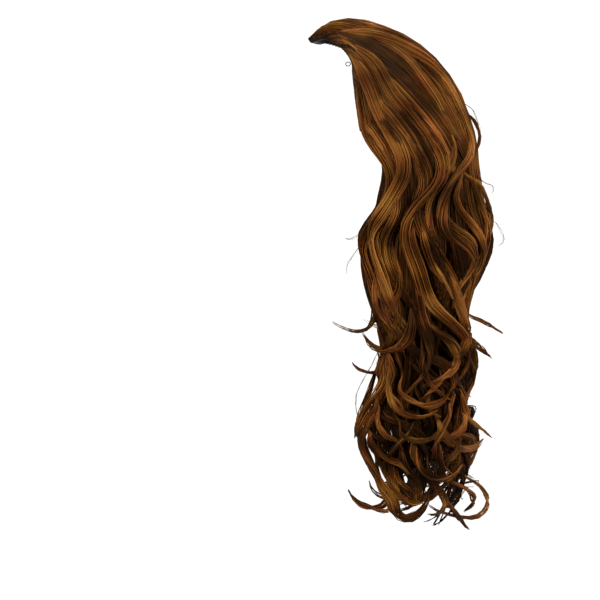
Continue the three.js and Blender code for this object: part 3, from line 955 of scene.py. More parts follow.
WAVES: tuple[WaveLock, ...] = (
    WaveLock(13, 0.5, 0.50, ((3, -46), (10, -58), (11, -80), (15, -101), (24, -123), (37, -140), (46, -153),
        (48, -171), (41, -193), (28, -213), (17, -231), (16, -246), (21, -260), (27, -281), (31, -306),
        (29, -325), (18, -336), (-1, -334), (-21, -323))),
    WaveLock(18, 1.5, 0.66, ((-9, -19), (4, -29), (18, -48), (28, -73), (39, -99), (53, -121), (63, -143),
        (63, -160), (54, -179), (40, -202), (29, -217), (27, -235), (33, -257), (42, -286), (51, -311),
        (64, -331), (80, -343))),
    WaveLock(17, 1.5, 0.64, ((-19, -10), (4, -16), (26, -27), (36, -49), (47, -69), (60, -84), (78, -101),
        (95, -119), (105, -134), (108, -153), (102, -171), (87, -185), (74, -197), (66, -213), (65, -231),
        (72, -250), (81, -272), (85, -293), (94, -308), (110, -321), (128, -336), (136, -348), (136, -368),
        (125, -392), (110, -402))),
    WaveLock(16, 1.0, 0.62, ((-26, -4), (2, 2), (41, -4), (72, -18), (100, -37), (116, -63), (131, -94),
        (139, -114), (141, -132), (133, -148), (119, -162), (109, -183), (105, -203), (109, -226),
        (124, -236), (137, -244), (141, -261), (137, -283), (132, -306), (134, -328))),
    WaveLock(12, 0.0, 0.52, ((-15, 4), (19, 9), (58, -4), (89, -25), (115, -64), (131, -94), (141, -116),
        (139, -132), (133, -142), (138, -160), (145, -180), (153, -205), (160, -218), (155, -236),
        (155, -250), (146, -264), (139, -289), (132, -311), (130, -334), (137, -356), (146, -381),
        (137, -401), (126, -417), (123, -437), (128, -452))),
    WaveLock(11, 2.0, 0.50, ((128, -143), (131, -160), (146, -171), (153, -185), (160, -208), (158, -225),
        (148, -240))),
    WaveLock(17, -2.0, 0.44, ((4, -31), (20, -60), (27, -90), (36, -116), (49, -143), (60, -177),
        (56, -204), (43, -228), (45, -253), (56, -278), (67, -300), (85, -320), (103, -334))),
    WaveLock(17, -2.0, 0.42, ((-3, -13), (22, -34), (40, -67), (56, -101), (72, -128), (85, -150),
        (87, -172), (76, -195), (85, -224), (99, -249), (116, -269), (123, -291), (116, -314))),
    WaveLock(16, -1.0, 0.56, ((13, 2), (54, -16), (81, -45), (101, -76), (114, -103), (121, -128),
        (114, -150), (99, -172), (90, -195), (92, -220), (103, -242))),
    WaveLock(10, 5.0, 0.66, ((34, -358), (43, -376), (45, -393), (47, -409), (55, -423), (69, -431),
        (87, -431), (101, -424))),
    WaveLock(11, 7.0, 0.60, ((49, -381), (54, -396), (62, -407), (74, -414), (90, -419), (106, -414),
        (114, -404))),
    WaveLock(20, 3.0, 0.56, ((40, -320), (34, -339), (36, -356), (44, -368), (44, -386), (34, -407),
        (21, -427), (15, -447), (17, -467), (25, -484), (35, -504), (45, -524), (54, -538))),
    WaveLock(11, 6.0, 0.64, ((99, -426), (100, -439), (106, -449), (114, -459), (128, -467), (142, -465),
        (152, -455))),
    WaveLock(12, 5.0, 0.58, ((81, -444), (74, -465), (76, -479), (86, -494), (102, -501), (118, -496),
        (128, -484))),
    WaveLock(7, 3.0, 0.56, ((110, -491), (128, -500), (146, -507), (156, -522), (153, -536), (140, -544),
        (118, -542), (99, -536), (90, -530))),
    WaveLock(7, 0.0, 0.48, ((101, -500), (120, -506), (136, -514), (140, -528), (129, -538))),
    WaveLock(9, 4.0, 0.46, ((92, -491), (102, -515), (118, -536), (130, -553), (137, -558))),
    WaveLock(17, 2.0, 0.54, ((22, -470), (35, -504), (47, -522), (54, -537), (64, -545), (78, -540),
        (88, -528), (92, -518))),
    WaveLock(13, 0.0, 0.46, ((38, -488), (48, -508), (58, -522), (72, -528), (86, -520), (94, -506))),
    WaveLock(10, 1.0, 0.46, ((40, -500), (44, -518), (38, -530), (24, -532))),
    WaveLock(8, 2.0, 0.48, ((54, -520), (46, -536), (29, -534), (13, -528), (4, -520), (0, -512))),
    WaveLock(6, 1.0, 0.40, ((49, -370), (37, -380), (21, -381), (9, -376), (4, -370))),
    WaveLock(5, 0.0, 0.50, ((123, -309), (137, -318), (150, -324), (163, -331), (174, -338))),
    WaveLock(5, 0.0, 0.50, ((130, -84), (139, -96), (146, -110), (147, -122), (142, -135), (137, -146))),
    WaveLock(13, 4.0, 0.66, ((76, -318), (88, -330), (104, -338), (118, -350), (122, -366), (114, -382),
        (98, -392), (84, -398))),
    WaveLock(12, 5.0, 0.62, ((24, -436), (22, -452), (30, -468), (44, -478), (58, -484), (68, -496))),
    WaveLock(11, 4.0, 0.60, ((118, -402), (128, -414), (132, -430), (126, -446), (114, -454), (100, -458))),
    WaveLock(10, 5.0, 0.62, ((48, -440), (60, -452), (76, -458), (92, -456), (102, -446))),
    WaveLock(6, 1.0, 0.45, ((128, -334), (140, -346), (150, -356), (162, -366))),
    WaveLock(5, 1.0, 0.60, ((128, -428), (140, -437), (152, -447), (162, -455))),
    WaveLock(12, 5.0, 0.56, ((72, -300), (71, -317), (71, -332), (66, -345), (56, -354), (41, -357),
        (26, -351), (16, -337))),
    WaveLock(9, 6.0, 0.58, ((94, -345), (86, -358), (83, -374), (91, -394), (104, -405), (116, -412))),
    WaveLock(9, 1.0, 0.44, ((27, -457), (37, -487), (49, -504), (57, -520), (66, -533))),
    WaveLock(12, 3.0, 0.54, ((110, -402), (116, -414), (114, -430), (105, -444), (99, -461), (103, -482),
        (116, -495))),
    WaveLock(12, 1.0, 0.44, ((85, -431), (72, -448), (56, -461), (45, -477), (49, -495), (63, -508),
        (76, -517), (85, -531))),
    WaveLock(13, 1.0, 0.42, ((58, -334), (69, -352), (85, -363), (103, -370), (116, -381), (119, -396),
        (110, -408))),
    WaveLock(11, 0.0, 0.44, ((132, -417), (122, -435), (120, -457), (122, -475), (118, -495), (110, -506))),
    WaveLock(9, 3.0, 0.64, ((83, -205), (83, -222), (88, -244), (96, -264), (110, -283), (118, -300))),
    WaveLock(14, 1.5, 0.60, ((108, -255), (114, -272), (122, -296), (130, -322), (134, -341), (128, -358),
        (116, -372), (104, -378))),
    WaveLock(12, 1.0, 0.56, ((72, -248), (74, -262), (77, -286), (82, -316), (90, -341), (92, -362),
        (84, -384), (72, -398), (60, -412))),
    WaveLock(11, 3.0, 0.52, ((44, -272), (52, -292), (56, -316), (50, -340), (40, -360), (36, -384),
        (46, -404), (60, -418), (66, -436))),
    WaveLock(11, 1.0, 0.48, ((66, -455), (60, -474), (66, -492), (76, -504), (78, -520), (70, -532),
        (58, -536))),
    WaveLock(10, 2.0, 0.50, ((96, -470), (90, -488), (94, -506), (104, -516), (108, -530), (100, -540),
        (88, -540))),
    WaveLock(10, 0.0, 0.44, ((50, -476), (54, -496), (64, -514), (78, -524), (92, -522), (98, -512))),
    WaveLock(9, 4.0, 0.60, ((40, -398), (33, -418), (33, -438), (42, -452), (54, -458), (62, -470))),
    WaveLock(9, 2.0, 0.50, ((118, -440), (124, -456), (120, -472), (110, -482), (106, -498), (114, -510))),
    WaveLock(10, 3.0, 0.58, ((112, -376), (106, -390), (96, -398), (88, -410), (92, -424), (104, -432))),
    WaveLock(9, 2.0, 0.60, ((130, -128), (134, -149), (127, -166), (121, -183), (126, -199), (138, -213),
        (148, -228), (152, -244), (148, -261), (138, -278), (130, -296), (128, -314))),
    WaveLock(9, 3.0, 0.62, ((100, -182), (108, -205), (119, -220), (132, -229), (141, -241), (141, -258),
        (133, -273), (124, -286), (121, -302))),
    WaveLock(8, 1.0, 0.60, ((139, -150), (147, -177), (152, -196), (155, -216), (154, -236), (148, -253),
        (139, -269), (133, -289), (130, -311))),
    WaveLock(9, 1.0, 0.56, ((46, -252), (56, -268), (58, -286), (50, -304), (44, -322), (50, -340),
        (62, -352))),
    WaveLock(22, -7.0, 0.30, ((40, -384), (34, -412), (33, -446), (40, -474), (52, -502), (63, -524))),
    WaveLock(17, -7.0, 0.30, ((44, -390), (47, -412), (49, -440), (54, -468), (58, -490), (63, -506))),
    WaveLock(15, -7.0, 0.30, ((110, -414), (110, -434), (110, -462), (105, -490), (96, -507), (90, -524))),
    WaveLock(10, -7.0, 0.30, ((78, -414), (78, -434), (77, -457), (78, -479), (85, -500), (81, -522))),
    WaveLock(11, -1.0, 0.46, ((36, -366), (31, -384), (23, -404), (16, -424), (13, -446), (16, -468),
        (25, -490), (36, -508))),
)
STRAYS: tuple[Path, ...] = (
    ((132, -74), (141, -90), (147, -108), (146, -121), (141, -132)),
    ((137, -149), (150, -166), (156, -170), (162, -172), (162, -180), (157, -185)),
    ((164, -213), (172, -224), (174, -234), (167, -241)),
    ((22, -214), (14, -224), (5, -231), (-3, -231), (-8, -225)),
    ((20, -232), (11, -243), (3, -254), (-2, -264), (-1, -273)),
    ((42, -350), (30, -368), (18, -388), (10, -406), (9, -424), (14, -440), (22, -454)),
)


@dataclass(frozen=True)
class Hollow:
    """A shaded hollow between the waves in the side view, or a lit crest where the shade is below 0."""

    across: float
    up: float
    wide: float
    tall: float
    shade: float


HOLLOWS: tuple[Hollow, ...] = (
    Hollow(0, 2, 44, 16, -0.08),
    Hollow(12, -26, 16, 16, 0.08),
    Hollow(48, -66, 34, 34, 0.18),
    Hollow(4, -92, 10, 26, -0.14),
    Hollow(108, -88, 24, 32, -0.22),
    Hollow(42, -140, 24, 20, -0.26),
    Hollow(84, -156, 26, 20, 0.18),
    Hollow(134, -138, 12, 24, -0.10),
    Hollow(152, -205, 9, 40, -0.12),
    Hollow(58, -188, 13, 22, 0.30),
    Hollow(96, -186, 12, 20, 0.14),
    Hollow(26, -222, 20, 16, 0.20),
    Hollow(112, -220, 20, 18, 0.34),
    Hollow(56, -232, 12, 18, 0.12),
    Hollow(82, -268, 18, 26, 0.30),
    Hollow(123, -266, 10, 20, 0.20),
    Hollow(30, -284, 16, 32, -0.30),
    Hollow(110, -302, 22, 26, -0.36),
    Hollow(62, -312, 12, 24, 0.20),
    Hollow(26, -342, 18, 14, 0.34),
    Hollow(94, -350, 34, 24, 0.52),
    Hollow(58, -372, 20, 16, 0.14),
    Hollow(80, -392, 20, 14, 0.10),
    Hollow(2, -430, 12, 16, 0.20),
    Hollow(122, -400, 12, 20, -0.06),
    Hollow(40, -456, 30, 26, 0.32),
    Hollow(94, -458, 24, 24, 0.28),
    Hollow(128, -468, 14, 30, -0.12),
    Hollow(84, -492, 26, 22, 0.36),
    Hollow(136, -508, 18, 16, -0.24),
    Hollow(98, -538, 46, 14, 0.30),
)


class MaterialNodes:
    """A new node material, with short ways to add and join its nodes."""

    def __init__(self, name: str) -> None:
        """Starts a material that has only its main shader.

        Args:
            name: Name of the material.
        """
        self.material = bpy.data.materials.new(name)
        self.material.use_nodes = True
        self.tree = self.material.node_tree
        self.shader = self.tree.nodes["Principled BSDF"]

    def feed(self, node: bpy.types.Node, inputs: Inputs) -> None:
        """Sets the inputs of a node.

        Args:
            node: The node.
            inputs: For each input, its value or the output that it is joined to.
        """
        for name, value in inputs.items():
            if isinstance(value, Socket):
                self.tree.links.new(value, node.inputs[name])
            else:
                node.inputs[name].default_value = value

    def add(self, kind: str, inputs: Inputs) -> bpy.types.Node:
        """Adds a node.

        Args:
            kind: Type of the node.
            inputs: For each input, its value or the output that it is joined to.

        Returns:
            The node.
        """
        node = self.tree.nodes.new(kind)
        self.feed(node, inputs)
        return node

    def place(self) -> Socket:
        """Returns the Object coordinates."""
        return self.add("ShaderNodeTexCoord", {}).outputs["Object"]

    def noise(self, place: Socket, scale: float, detail: float = 2.0) -> Socket:
        """Returns the value of a noise."""
        node = self.add("ShaderNodeTexNoise", {"Vector": place, "Scale": scale, "Detail": detail})
        return node.outputs["Fac"]

    def sum(self, operation: str, *terms: Socket | float) -> Socket:
        """Works out a sum.

        Args:
            operation: Kind of sum.
            *terms: Its terms.

        Returns:
            The result.
        """
        node = self.add("ShaderNodeMath", {})
        node.operation = operation
        self.feed(node, dict(enumerate(terms)))
        return node.outputs["Value"]

    def mixed(self, low: Colour, high: Colour, share: Socket) -> Socket:
        """Mixes two colours.

        Args:
            low: Colour where the share is 0.
            high: Colour where the share is 1.
            share: The share.

        Returns:
            The mixed colour.
        """
        node = self.add("ShaderNodeMix", {})
        node.data_type = "RGBA"
        self.feed(node, {"A": (*low, 1.0), "B": (*high, 1.0), "Factor": share})
        return node.outputs["Result"]

    def ramp(self, share: Socket, stops: tuple[tuple[float, Colour], ...]) -> Socket:
        """Reads a colour from a ramp.

        Args:
            share: Place to read.
            stops: Places of the ramp and their colours.

        Returns:
            The colour.
        """
        node = self.add("ShaderNodeValToRGB", {"Fac": share})
        elements = node.color_ramp.elements
        while len(elements) < len(stops):
            elements.new(0.5)
        for element, (at, colour) in zip(elements, stops):
            element.position = at
            element.color = (*colour, 1.0)
        return node.outputs["Color"]

    def bump(self, height: Socket, strength: float, distance: float) -> Socket:
        """Returns the normals of a surface that a height makes uneven."""
        node = self.add("ShaderNodeBump", {"Height": height, "Strength": strength, "Distance": distance})
        return node.outputs["Normal"]

    def finished(self, inputs: Inputs) -> bpy.types.Material:
        """Sets the inputs of the main shader and returns the material."""
        self.feed(self.shader, inputs)
        return self.material


@dataclass(frozen=True)
class HairFinish:
    """Copper-brown hair: dark, middle and light strands with a soft gloss."""

    dark: Colour = (0.010, 0.0032, 0.0008)
    brown: Colour = (0.048, 0.0145, 0.0026)
    copper: Colour = (0.148, 0.0474, 0.0076)
    light: Colour = (0.326, 0.1272, 0.0252)
    stops: tuple[float, ...] = (0.18, 0.42, 0.61, 0.85)
    shine: Colour = (1.0, 0.52, 0.22)
    gloss: float = 0.2
    rough_dark: float = 0.52
    rough_light: float = 0.34
    patches: float = 24.0
    patch_depth: float = 0.7
    drifts: float = 41.0
    hue_drift: float = 0.056

    def material(self) -> bpy.types.Material:
        """Makes the material, which reads the tone of each strand.

        Returns:
            The material.
        """
        nodes = MaterialNodes("hair_copper_brown")
        # The tone attribute carries each strand's own colour together with painted shade and painted
        # highlights that the strands get by place.
        tone = nodes.add("ShaderNodeAttribute", {})
        tone.attribute_name = "tone"
        place = nodes.place()
        patches = nodes.noise(place, self.patches)
        shift = nodes.sum("MULTIPLY_ADD", patches, self.patch_depth, -0.5 * self.patch_depth)
        total = nodes.sum("ADD", tone.outputs["Fac"], shift)
        colours = (self.dark, self.brown, self.copper, self.light)
        colour = nodes.ramp(total, tuple(zip(self.stops, colours)))
        drift = nodes.noise(place, self.drifts)
        turn = nodes.sum("MULTIPLY_ADD", drift, self.hue_drift, 0.5 - 0.5 * self.hue_drift)
        hue = nodes.add("ShaderNodeHueSaturation", {"Hue": turn, "Color": colour})
        ends = {"To Min": self.rough_dark, "To Max": self.rough_light}
        rough = nodes.add("ShaderNodeMapRange", {"Value": total, **ends})
        return nodes.finished(
            {
                "Base Color": hue.outputs["Color"],
                "Roughness": rough.outputs["Result"],
                "Specular Tint": (*self.shine, 1.0),
                "Specular IOR Level": self.gloss,
            }
        )


@dataclass(frozen=True)
class CoreFinish:
    """Shaded hair under the strands, with fine streaks that run downwards."""

    dark: Colour = (0.006, 0.002, 0.0006)
    brown: Colour = (0.05, 0.016, 0.003)
    stops: tuple[float, ...] = (0.42, 0.72)
    shine: Colour = (1.0, 0.52, 0.22)
    gloss: float = 0.06
    roughness: float = 0.6
    fine: float = 620.0
    long: float = 14.0
    relief: float = 0.7
    relief_depth: float = 0.001

    def material(self) -> bpy.types.Material:
        """Makes the material, whose streaks lie in Object coordinates.

        Returns:
            The material.
        """
        nodes = MaterialNodes("hair_core")
        drawn = {"Vector": nodes.place(), "Scale": (self.fine, self.fine, self.long)}
        streak = nodes.noise(nodes.add("ShaderNodeMapping", drawn).outputs["Vector"], 1.0)
        return nodes.finished(
            {
                "Base Color": nodes.ramp(streak, tuple(zip(self.stops, (self.dark, self.brown)))),
                "Normal": nodes.bump(streak, self.relief, self.relief_depth),
                "Roughness": self.roughness,
                "Specular Tint": (*self.shine, 1.0),
                "Specular IOR Level": self.gloss,
            }
        )


@dataclass(frozen=True)
class ClothFinish:
    """Dark brown cloth with a fine weave."""

    name: str
    colour: Colour
    thread: Colour
    across: float
    down: float
    roughness: float
    uneven: float = 0.8
    gloss: float = 0.12
    relief: float = 0.5
    relief_depth: float = 0.0004

    def material(self) -> bpy.types.Material:
        """Makes the material, whose threads cross in the piece's own UV map.

        Returns:
            The material.
        """
        nodes = MaterialNodes(self.name)
        place = nodes.add("ShaderNodeUVMap", {})
        place.uv_map = "UVMap"
        threads = []
        for direction, scale in (("X", self.across), ("Y", self.down)):
            woven = {"Vector": place.outputs["UV"], "Scale": scale, "Distortion": self.uneven}
            wave = nodes.add("ShaderNodeTexWave", woven)
            wave.bands_direction = direction
            threads.append(wave.outputs["Fac"])
        cross = nodes.sum("MAXIMUM", *threads)
        return nodes.finished(
            {
                "Base Color": nodes.mixed(self.colour, self.thread, cross),
                "Normal": nodes.bump(cross, self.relief, self.relief_depth),
                "Roughness": self.roughness,
                "Specular IOR Level": self.gloss,
            }
        )


@dataclass(frozen=True)
class SmoothFinish:
    """Plain dark material with faint mottling, for thread and comb."""

    name: str
    colour: Colour
    mottled: Colour
    grain: float
    roughness: float
    detail: float = 4.0
    relief: float = 0.25
    relief_depth: float = 0.0002

    def material(self) -> bpy.types.Material:
        """Makes the material, whose mottling lies in Object coordinates.

        Returns:
            The material.
        """
        nodes = MaterialNodes(self.name)
        grain = nodes.noise(nodes.place(), self.grain, self.detail)
        return nodes.finished(
            {
                "Base Color": nodes.mixed(self.colour, self.mottled, grain),
                "Normal": nodes.bump(grain, self.relief, self.relief_depth),
                "Roughness": self.roughness,
            }
        )


def tie(obj: bpy.types.Object, material: bpy.types.Material, slot: str, *nodes: str) -> None:
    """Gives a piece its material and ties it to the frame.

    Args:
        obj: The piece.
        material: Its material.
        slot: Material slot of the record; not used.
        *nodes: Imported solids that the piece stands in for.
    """
    obj.data.materials.clear()
    obj.data.materials.append(material)
    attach(obj, "root")
    if nodes:
        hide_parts(*nodes)
    log.info("%s: %d faces", obj.name, len(obj.data.polygons))


def wrapped_grid(name: str, columns: int, rows: int, place: Place) -> bpy.types.Object:
    """Adds a grid and lays it on a form.

    Args:
        name: Name of the piece.
        columns: Faces across.
        rows: Faces down.
        place: Function from shares across and down to points in millimetres.

    Returns:
        The grid, its faces outwards.
    """
    bpy.ops.object.select_all(action="DESELECT")
    bpy.ops.mesh.primitive_grid_add(x_subdivisions=columns, y_subdivisions=rows, size=2.0)
    obj = bpy.context.active_object
    obj.name = name
    co = np.empty(len(obj.data.vertices) * 3, np.float32)
    obj.data.vertices.foreach_get("co", co)
    co = co.reshape(-1, 3) * 0.5 + 0.5
    obj.data.vertices.foreach_set("co", (place(co[:, 0], co[:, 1]) * MM).astype(np.float32).ravel())
    obj.data.update()
    return obj


def thickened(obj: bpy.types.Object, wall: float) -> None:
    """Gives a sheet a wall on its inside, and smooth shading.

    Args:
        obj: The sheet.
        wall: Thickness of the wall.
    """
    bpy.ops.object.select_all(action="DESELECT")
    obj.select_set(True)
    bpy.context.view_layer.objects.active = obj
    solid = obj.modifiers.new("wall", "SOLIDIFY")
    solid.thickness = wall * MM
    solid.offset = -1.0
    bpy.ops.object.modifier_apply(modifier=solid.name)
    bpy.ops.object.shade_smooth_by_angle(angle=math.radians(50.0))


def merged(parts: list[bpy.types.Object]) -> bpy.types.Object:
    """Joins objects into the first of them.

    Args:
        parts: The objects.

    Returns:
        The joined object.
    """
    bpy.ops.object.select_all(action="DESELECT")
    for part in parts:
        part.select_set(True)
    bpy.context.view_layer.objects.active = parts[0]
    bpy.ops.object.join()
    return parts[0]


def in_curls(points: Array) -> Array:
    """Returns 0 for points in the long waves and 1 for points in the tip curls."""
    return smooth(-points[..., 2], CURLS_BEGIN, CURLS_FULL)


@dataclass
class Hair:
    """The hair pieces: long strands by section, wave locks, under hair, core and loose hair."""

    form: HairForm
    view: SideView
    finish: HairFinish
    crest: float = 0.11
    lighter: float = 0.11
    lighter_share: float = 0.12
    long_tone: float = 0.41
    long_radius: tuple[float, float] = (0.38, 0.62)
    core_share: float = 0.068
    crown_radius: tuple[float, float] = (0.36, 0.6)
    crown_tones: tuple[float, ...] = (0.24, 0.38, 0.46, 0.62)
    crown_bands: int = 44
    band_turn: float = 4.8
    lock_turn: float = 16.0
    wave_radius: tuple[float, float] = (0.36, 0.58)
    wave_strands_per_mm: float = 3.2
    wave_step: float = 8.4
    path_points: int = 90
    right_reach: float = 134.0
    right_tip_reach: float = 118.0
    under_radius: float = 1.05
    stray_radius: float = 0.16
    loose_radius: float = 0.18
    tint_seed: int = 5
    bunches: list[tuple[Lock, Wisp]] = field(default_factory=list)

    def __post_init__(self) -> None:
        """Makes the material that all hair pieces share and the points that wave locks lie on."""
        self.material = self.finish.material()
        self.tint = np.random.default_rng(self.tint_seed)
        self.cloud = self.form.surface()

    def tones(self, tone: float, count: int, spread: float = 0.085) -> Array:
        """Returns the tone of each strand of a bunch, a few of them lighter."""
        light = self.lighter * (self.tint.uniform(0.0, 1.0, count) < self.lighter_share)
        return np.clip(tone + light + self.tint.normal(0.0, spread, count), *TONE_LIMITS)

    def shaded(self, points: Array, tone: Array) -> Array:
        """Shades strands: lighter on the waves' crests, darker in the hollows.

        Args:
            points: Strands by points by 3.
            tone: Tone of each strand.

        Returns:
            Tone at each point, strands by points.
        """
        right = self.view.axes()[0]
        across = np.abs(points[..., 0]) * right[0] + points[..., 1] * right[1]
        down = -points[..., 2]
        phase = self.tint.uniform(0.0, FULL_TURN) + down / lerp(11.0, 7.5, smooth(down, 150.0, 450.0))
        shade = -self.crest * np.sin(phase) * smooth(down, 90.0, 190.0)
        for hollow in HOLLOWS:
            away = ((across - hollow.across) / hollow.wide) ** 2 + ((down + hollow.up) / hollow.tall) ** 2
            shade = shade + hollow.shade * np.exp(-away)
        return np.clip(tone[:, None] - shade, *TONE_LIMITS)

    def dress(self, mesh: StrandMesh, *nodes: str) -> None:
        """Builds a strand mesh, gives it the hair material and ties it to the frame."""
        tie(mesh.build(), self.material, "hair", *nodes)

    def long_hair(self, section: Section) -> None:
        """Builds the strands of a section that run from the front edge and the crown to the tips.

        Args:
            section: The section.
        """
        mesh = StrandMesh(f"hair_{section.value}")
        for lock in (lock for lock in LOCKS if lock.section is section):
            for wisp in self.form.wisps(lock, 4 if lock.thin else 8, self.long_tone):
                self.bunches.append((lock, wisp))
                outer, inner = (11, 6) if wisp.b > -0.3 else (4, 5)
                for count, rooted, over in ((outer, Rooted.FRONT_EDGE, 8), (inner, Rooted.CROWN, 6)):
                    points = self.form.strands(lock, wisp, count, rooted, (over, 3, 37))
                    radius = tapered(count, points.shape[1], self.tint.uniform(*self.long_radius, count))
                    # Painted shade: the long strands are darker in the tip curls, for the shade deep inside
                    # the curled ends.
                    tone = self.shaded(points, self.tones(wisp.tone, count)) - 0.09 * in_curls(points)
                    mesh.add(points, radius, tone)
        self.dress(mesh, f"fall_{section.value}")

    def curl_cores(self) -> None:
        """Builds a core in each wisp, which closes it where its strands part."""
        mesh = StrandMesh("hair_curl_cores", sides=5)
        share, middle = even(26) ** 0.8, np.zeros(1)
        for lock, wisp in self.bunches:
            down = lerp(0.12, 0.96 * wisp.end, share)[None]
            line = self.form.hanging(lock, wisp, middle, middle, down, share)
            thick = lerp(0.5, 1.0, smooth(share, 0.0, 0.3)) * (1.0 - 0.62 * smooth(share, 0.74, 1.0))
            radius = self.core_share * lock.wide * thick
            # Painted shade: a core is darker than its wisp, for the shade inside the wisp.
            mesh.add(line, radius[None], self.shaded(line, np.array([wisp.tone - 0.2])))
        self.dress(mesh)

    def crown_hair(self, count: int) -> None:
        """Builds the strands combed over the crown that end under the falls.

        Args:
            count: Number of strands.
        """
        mesh = StrandMesh("hair_crown")
        rng, form = self.form.rng, self.form
        edge = form.head.edge_end_turn
        turn = rng.uniform(-edge, edge, count)
        lock_step = np.abs(np.cos(np.pi * turn / self.lock_turn))
        depth = 0.4 + 2.2 * rng.uniform(0.0, 1.0, count) ** 2 + 2.0 * (1.0 - lock_step)
        along = even(12) ** 1.1
        top = form.crown.point(turn[:, None], along, depth[:, None] * lerp(0.25, 1.0, along), form.head)
        plan = turn * form.fall.plan_per_turn
        z = np.linspace(-172.0, -205.0, 4)
        low = form.fall.point(plan[:, None], lerp(0.97, 0.9, even(4)), z)
        points = form.joined(top, low, top[:, -1] - top[:, -2], 3)
        bands = self.tint.choice(self.crown_tones, self.crown_bands)
        tone = bands[((turn + edge) / self.band_turn).astype(int)] + self.tint.normal(0.0, 0.11, count)
        radius = tapered(count, points.shape[1], self.tint.uniform(*self.crown_radius, count))
        mesh.add(points, radius, self.shaded(points, tone))
        self.dress(mesh, "crown_hair")

    def settled(self, line: Array, lift: float) -> Array:
        """Lays a line on the crown's surface where it runs over the crown.

        Args:
            line: The line.
            lift: Height above the surface.

        Returns:
            The smoothed line.
        """
        gap = np.linalg.norm(line[:, None] - self.cloud[None], axis=-1)
        near = np.argsort(gap, axis=1)[:, :8]
        surface = self.cloud[near].mean(1)
        out = unit(surface - self.form.head.middle)
        share = smooth(line[:, 2], -170.0, -110.0)[:, None]
        moved = lerp(line, surface + out * lift, share)
        pad = np.pad(moved, ((3, 3), (0, 0)), mode="edge")
        return np.stack([np.convolve(pad[:, i], np.ones(7) / 7.0, mode="valid") for i in range(3)], -1)

    def wave_line(self, wave: WaveLock, mirrored: bool) -> Array:
        """Lays the middle line of a wave lock on the hair.

        Args:
            wave: The lock.
            mirrored: Whether the lock lies on the right side, where its waves drift a little.

        Returns:
            Points on the line.
        """
        line = self.view.place(curve_through(wave.points, self.path_points), self.cloud, wave.lift)
        if wave.from_crown:
            line = self.settled(line, wave.lift)[2:]
        if mirrored:
            line = line * np.array([-1.0, 1.0, 1.0])
            t = even(len(line))
            for axis, size, speed in ((1, 5.0, 5.0), (2, 6.0, 4.0)):
                drift = size * np.sin(self.form.rng.uniform(0.0, 6.0) + speed * t)
                line[:, axis] += drift * smooth(t, 0.1, 0.4)
        return line

    def wave_strands(self, wave: WaveLock, count: int, steps: int, mirrored: bool) -> Array:
        """Draws the strands of a wave lock.

        Args:
            wave: The lock.
            count: Number of strands.
            steps: Points in a strand.
            mirrored: Whether the lock lies on the right side.

        Returns:
            Strands by points by 3.
        """
        rng = self.form.rng
        line = self.wave_line(wave, mirrored)
        hub_y = lerp(2.0, 75.0, smooth(-line[:, 2], 60.0, 200.0))
        hub_z = np.maximum(line[:, 2], self.form.head.middle[2])
        out = unit(line - np.stack([np.zeros(len(line)), hub_y, hub_z], -1))
        along = unit(np.gradient(line, axis=0))
        side = unit(np.cross(along, out))
        face = np.cross(side, along)
        reach, around = np.sqrt(rng.uniform(0.02, 1.0, count)), rng.uniform(0.0, FULL_TURN, count)
        s, t = reach * np.cos(around), reach * np.sin(around)
        end = 1.0 - 0.27 * rng.uniform(0.0, 1.0, count) ** 1.6
        start = even(len(line))
        dense = np.cumsum(1.0 + 10.0 * np.linalg.norm(np.gradient(along, axis=0), axis=-1))
        dense = (dense - dense[0]) / (dense[-1] - dense[0])
        share = np.interp(even(steps), dense, start)[None] * end[:, None]
        middle, side, face = (
            np.stack([np.interp(share, start, v[:, i]) for i in range(3)], -1) for v in (line, side, face)
        )
        if wave.from_crown:
            sunk, least, full = 2.5 * (1.0 - smooth(share, 0.0, 0.1)), 0.3, 0.12
        else:
            sunk, least, full = (6.0 + wave.lift) * (1.0 - smooth(share, 0.0, 0.28)), 0.08, 0.36
        half = 0.5 * wave.wide * lerp(least, 1.0, smooth(share, 0.0, full))
        half = half * (1.0 - 0.62 * smooth(share, 0.66, 1.0))
        twist = 0.7 * np.sin(rng.uniform(0.0, 6.0) + 7.0 * share) * smooth(share, 0.1, 0.5)
        a, b = s[:, None] * half, 0.5 * t[:, None] * half
        aside, lifted = a * np.cos(twist) - b * np.sin(twist), a * np.sin(twist) + b * np.cos(twist)
        points = middle + side * aside[..., None] + face * (lifted - sunk)[..., None]
        return points + 0.6 * self.form.ripple(points)

    def wave_hair(self, name: str, waves: tuple[WaveLock, ...], share: float, mirrored: bool) -> None:
        """Builds wave locks of one side.

        Args:
            name: Name of the piece.
            waves: The locks.
            share: Share of the full number of strands.
            mirrored: Whether the locks lie on the right side, where those at the rim are left out.
        """
        mesh = StrandMesh(name)
        for wave in waves:
            across = wave.points[:, 0]
            at_rim = across.max() > self.right_reach or across[-4:].max() > self.right_tip_reach
            if mirrored and at_rim:
                continue
            steps = int(np.clip(lengths_along(wave.points)[-1] / self.wave_step, 13, 44))
            count = max(8, int(share * wave.wide * self.wave_strands_per_mm))
            points = self.wave_strands(wave, count, steps, mirrored)
            radius = tapered(count, steps, self.tint.uniform(*self.wave_radius, count))
            tone = self.shaded(points, self.tones(wave.tone, count, 0.09))
            # Painted highlight: the lighter wave locks are lighter still in the tip curls, against the
            # painted shade there.
            tone = tone + 0.05 * in_curls(points) * (wave.tone > 0.4)
            # Painted shade: locks that start below the crown are darker near their roots, where they come
            # out from under other hair.
            if not wave.from_crown:
                tone = tone - 0.16 * (1.0 - smooth(even(steps), 0.0, 0.22))
            mesh.add(points, radius, tone)
        self.dress(mesh)

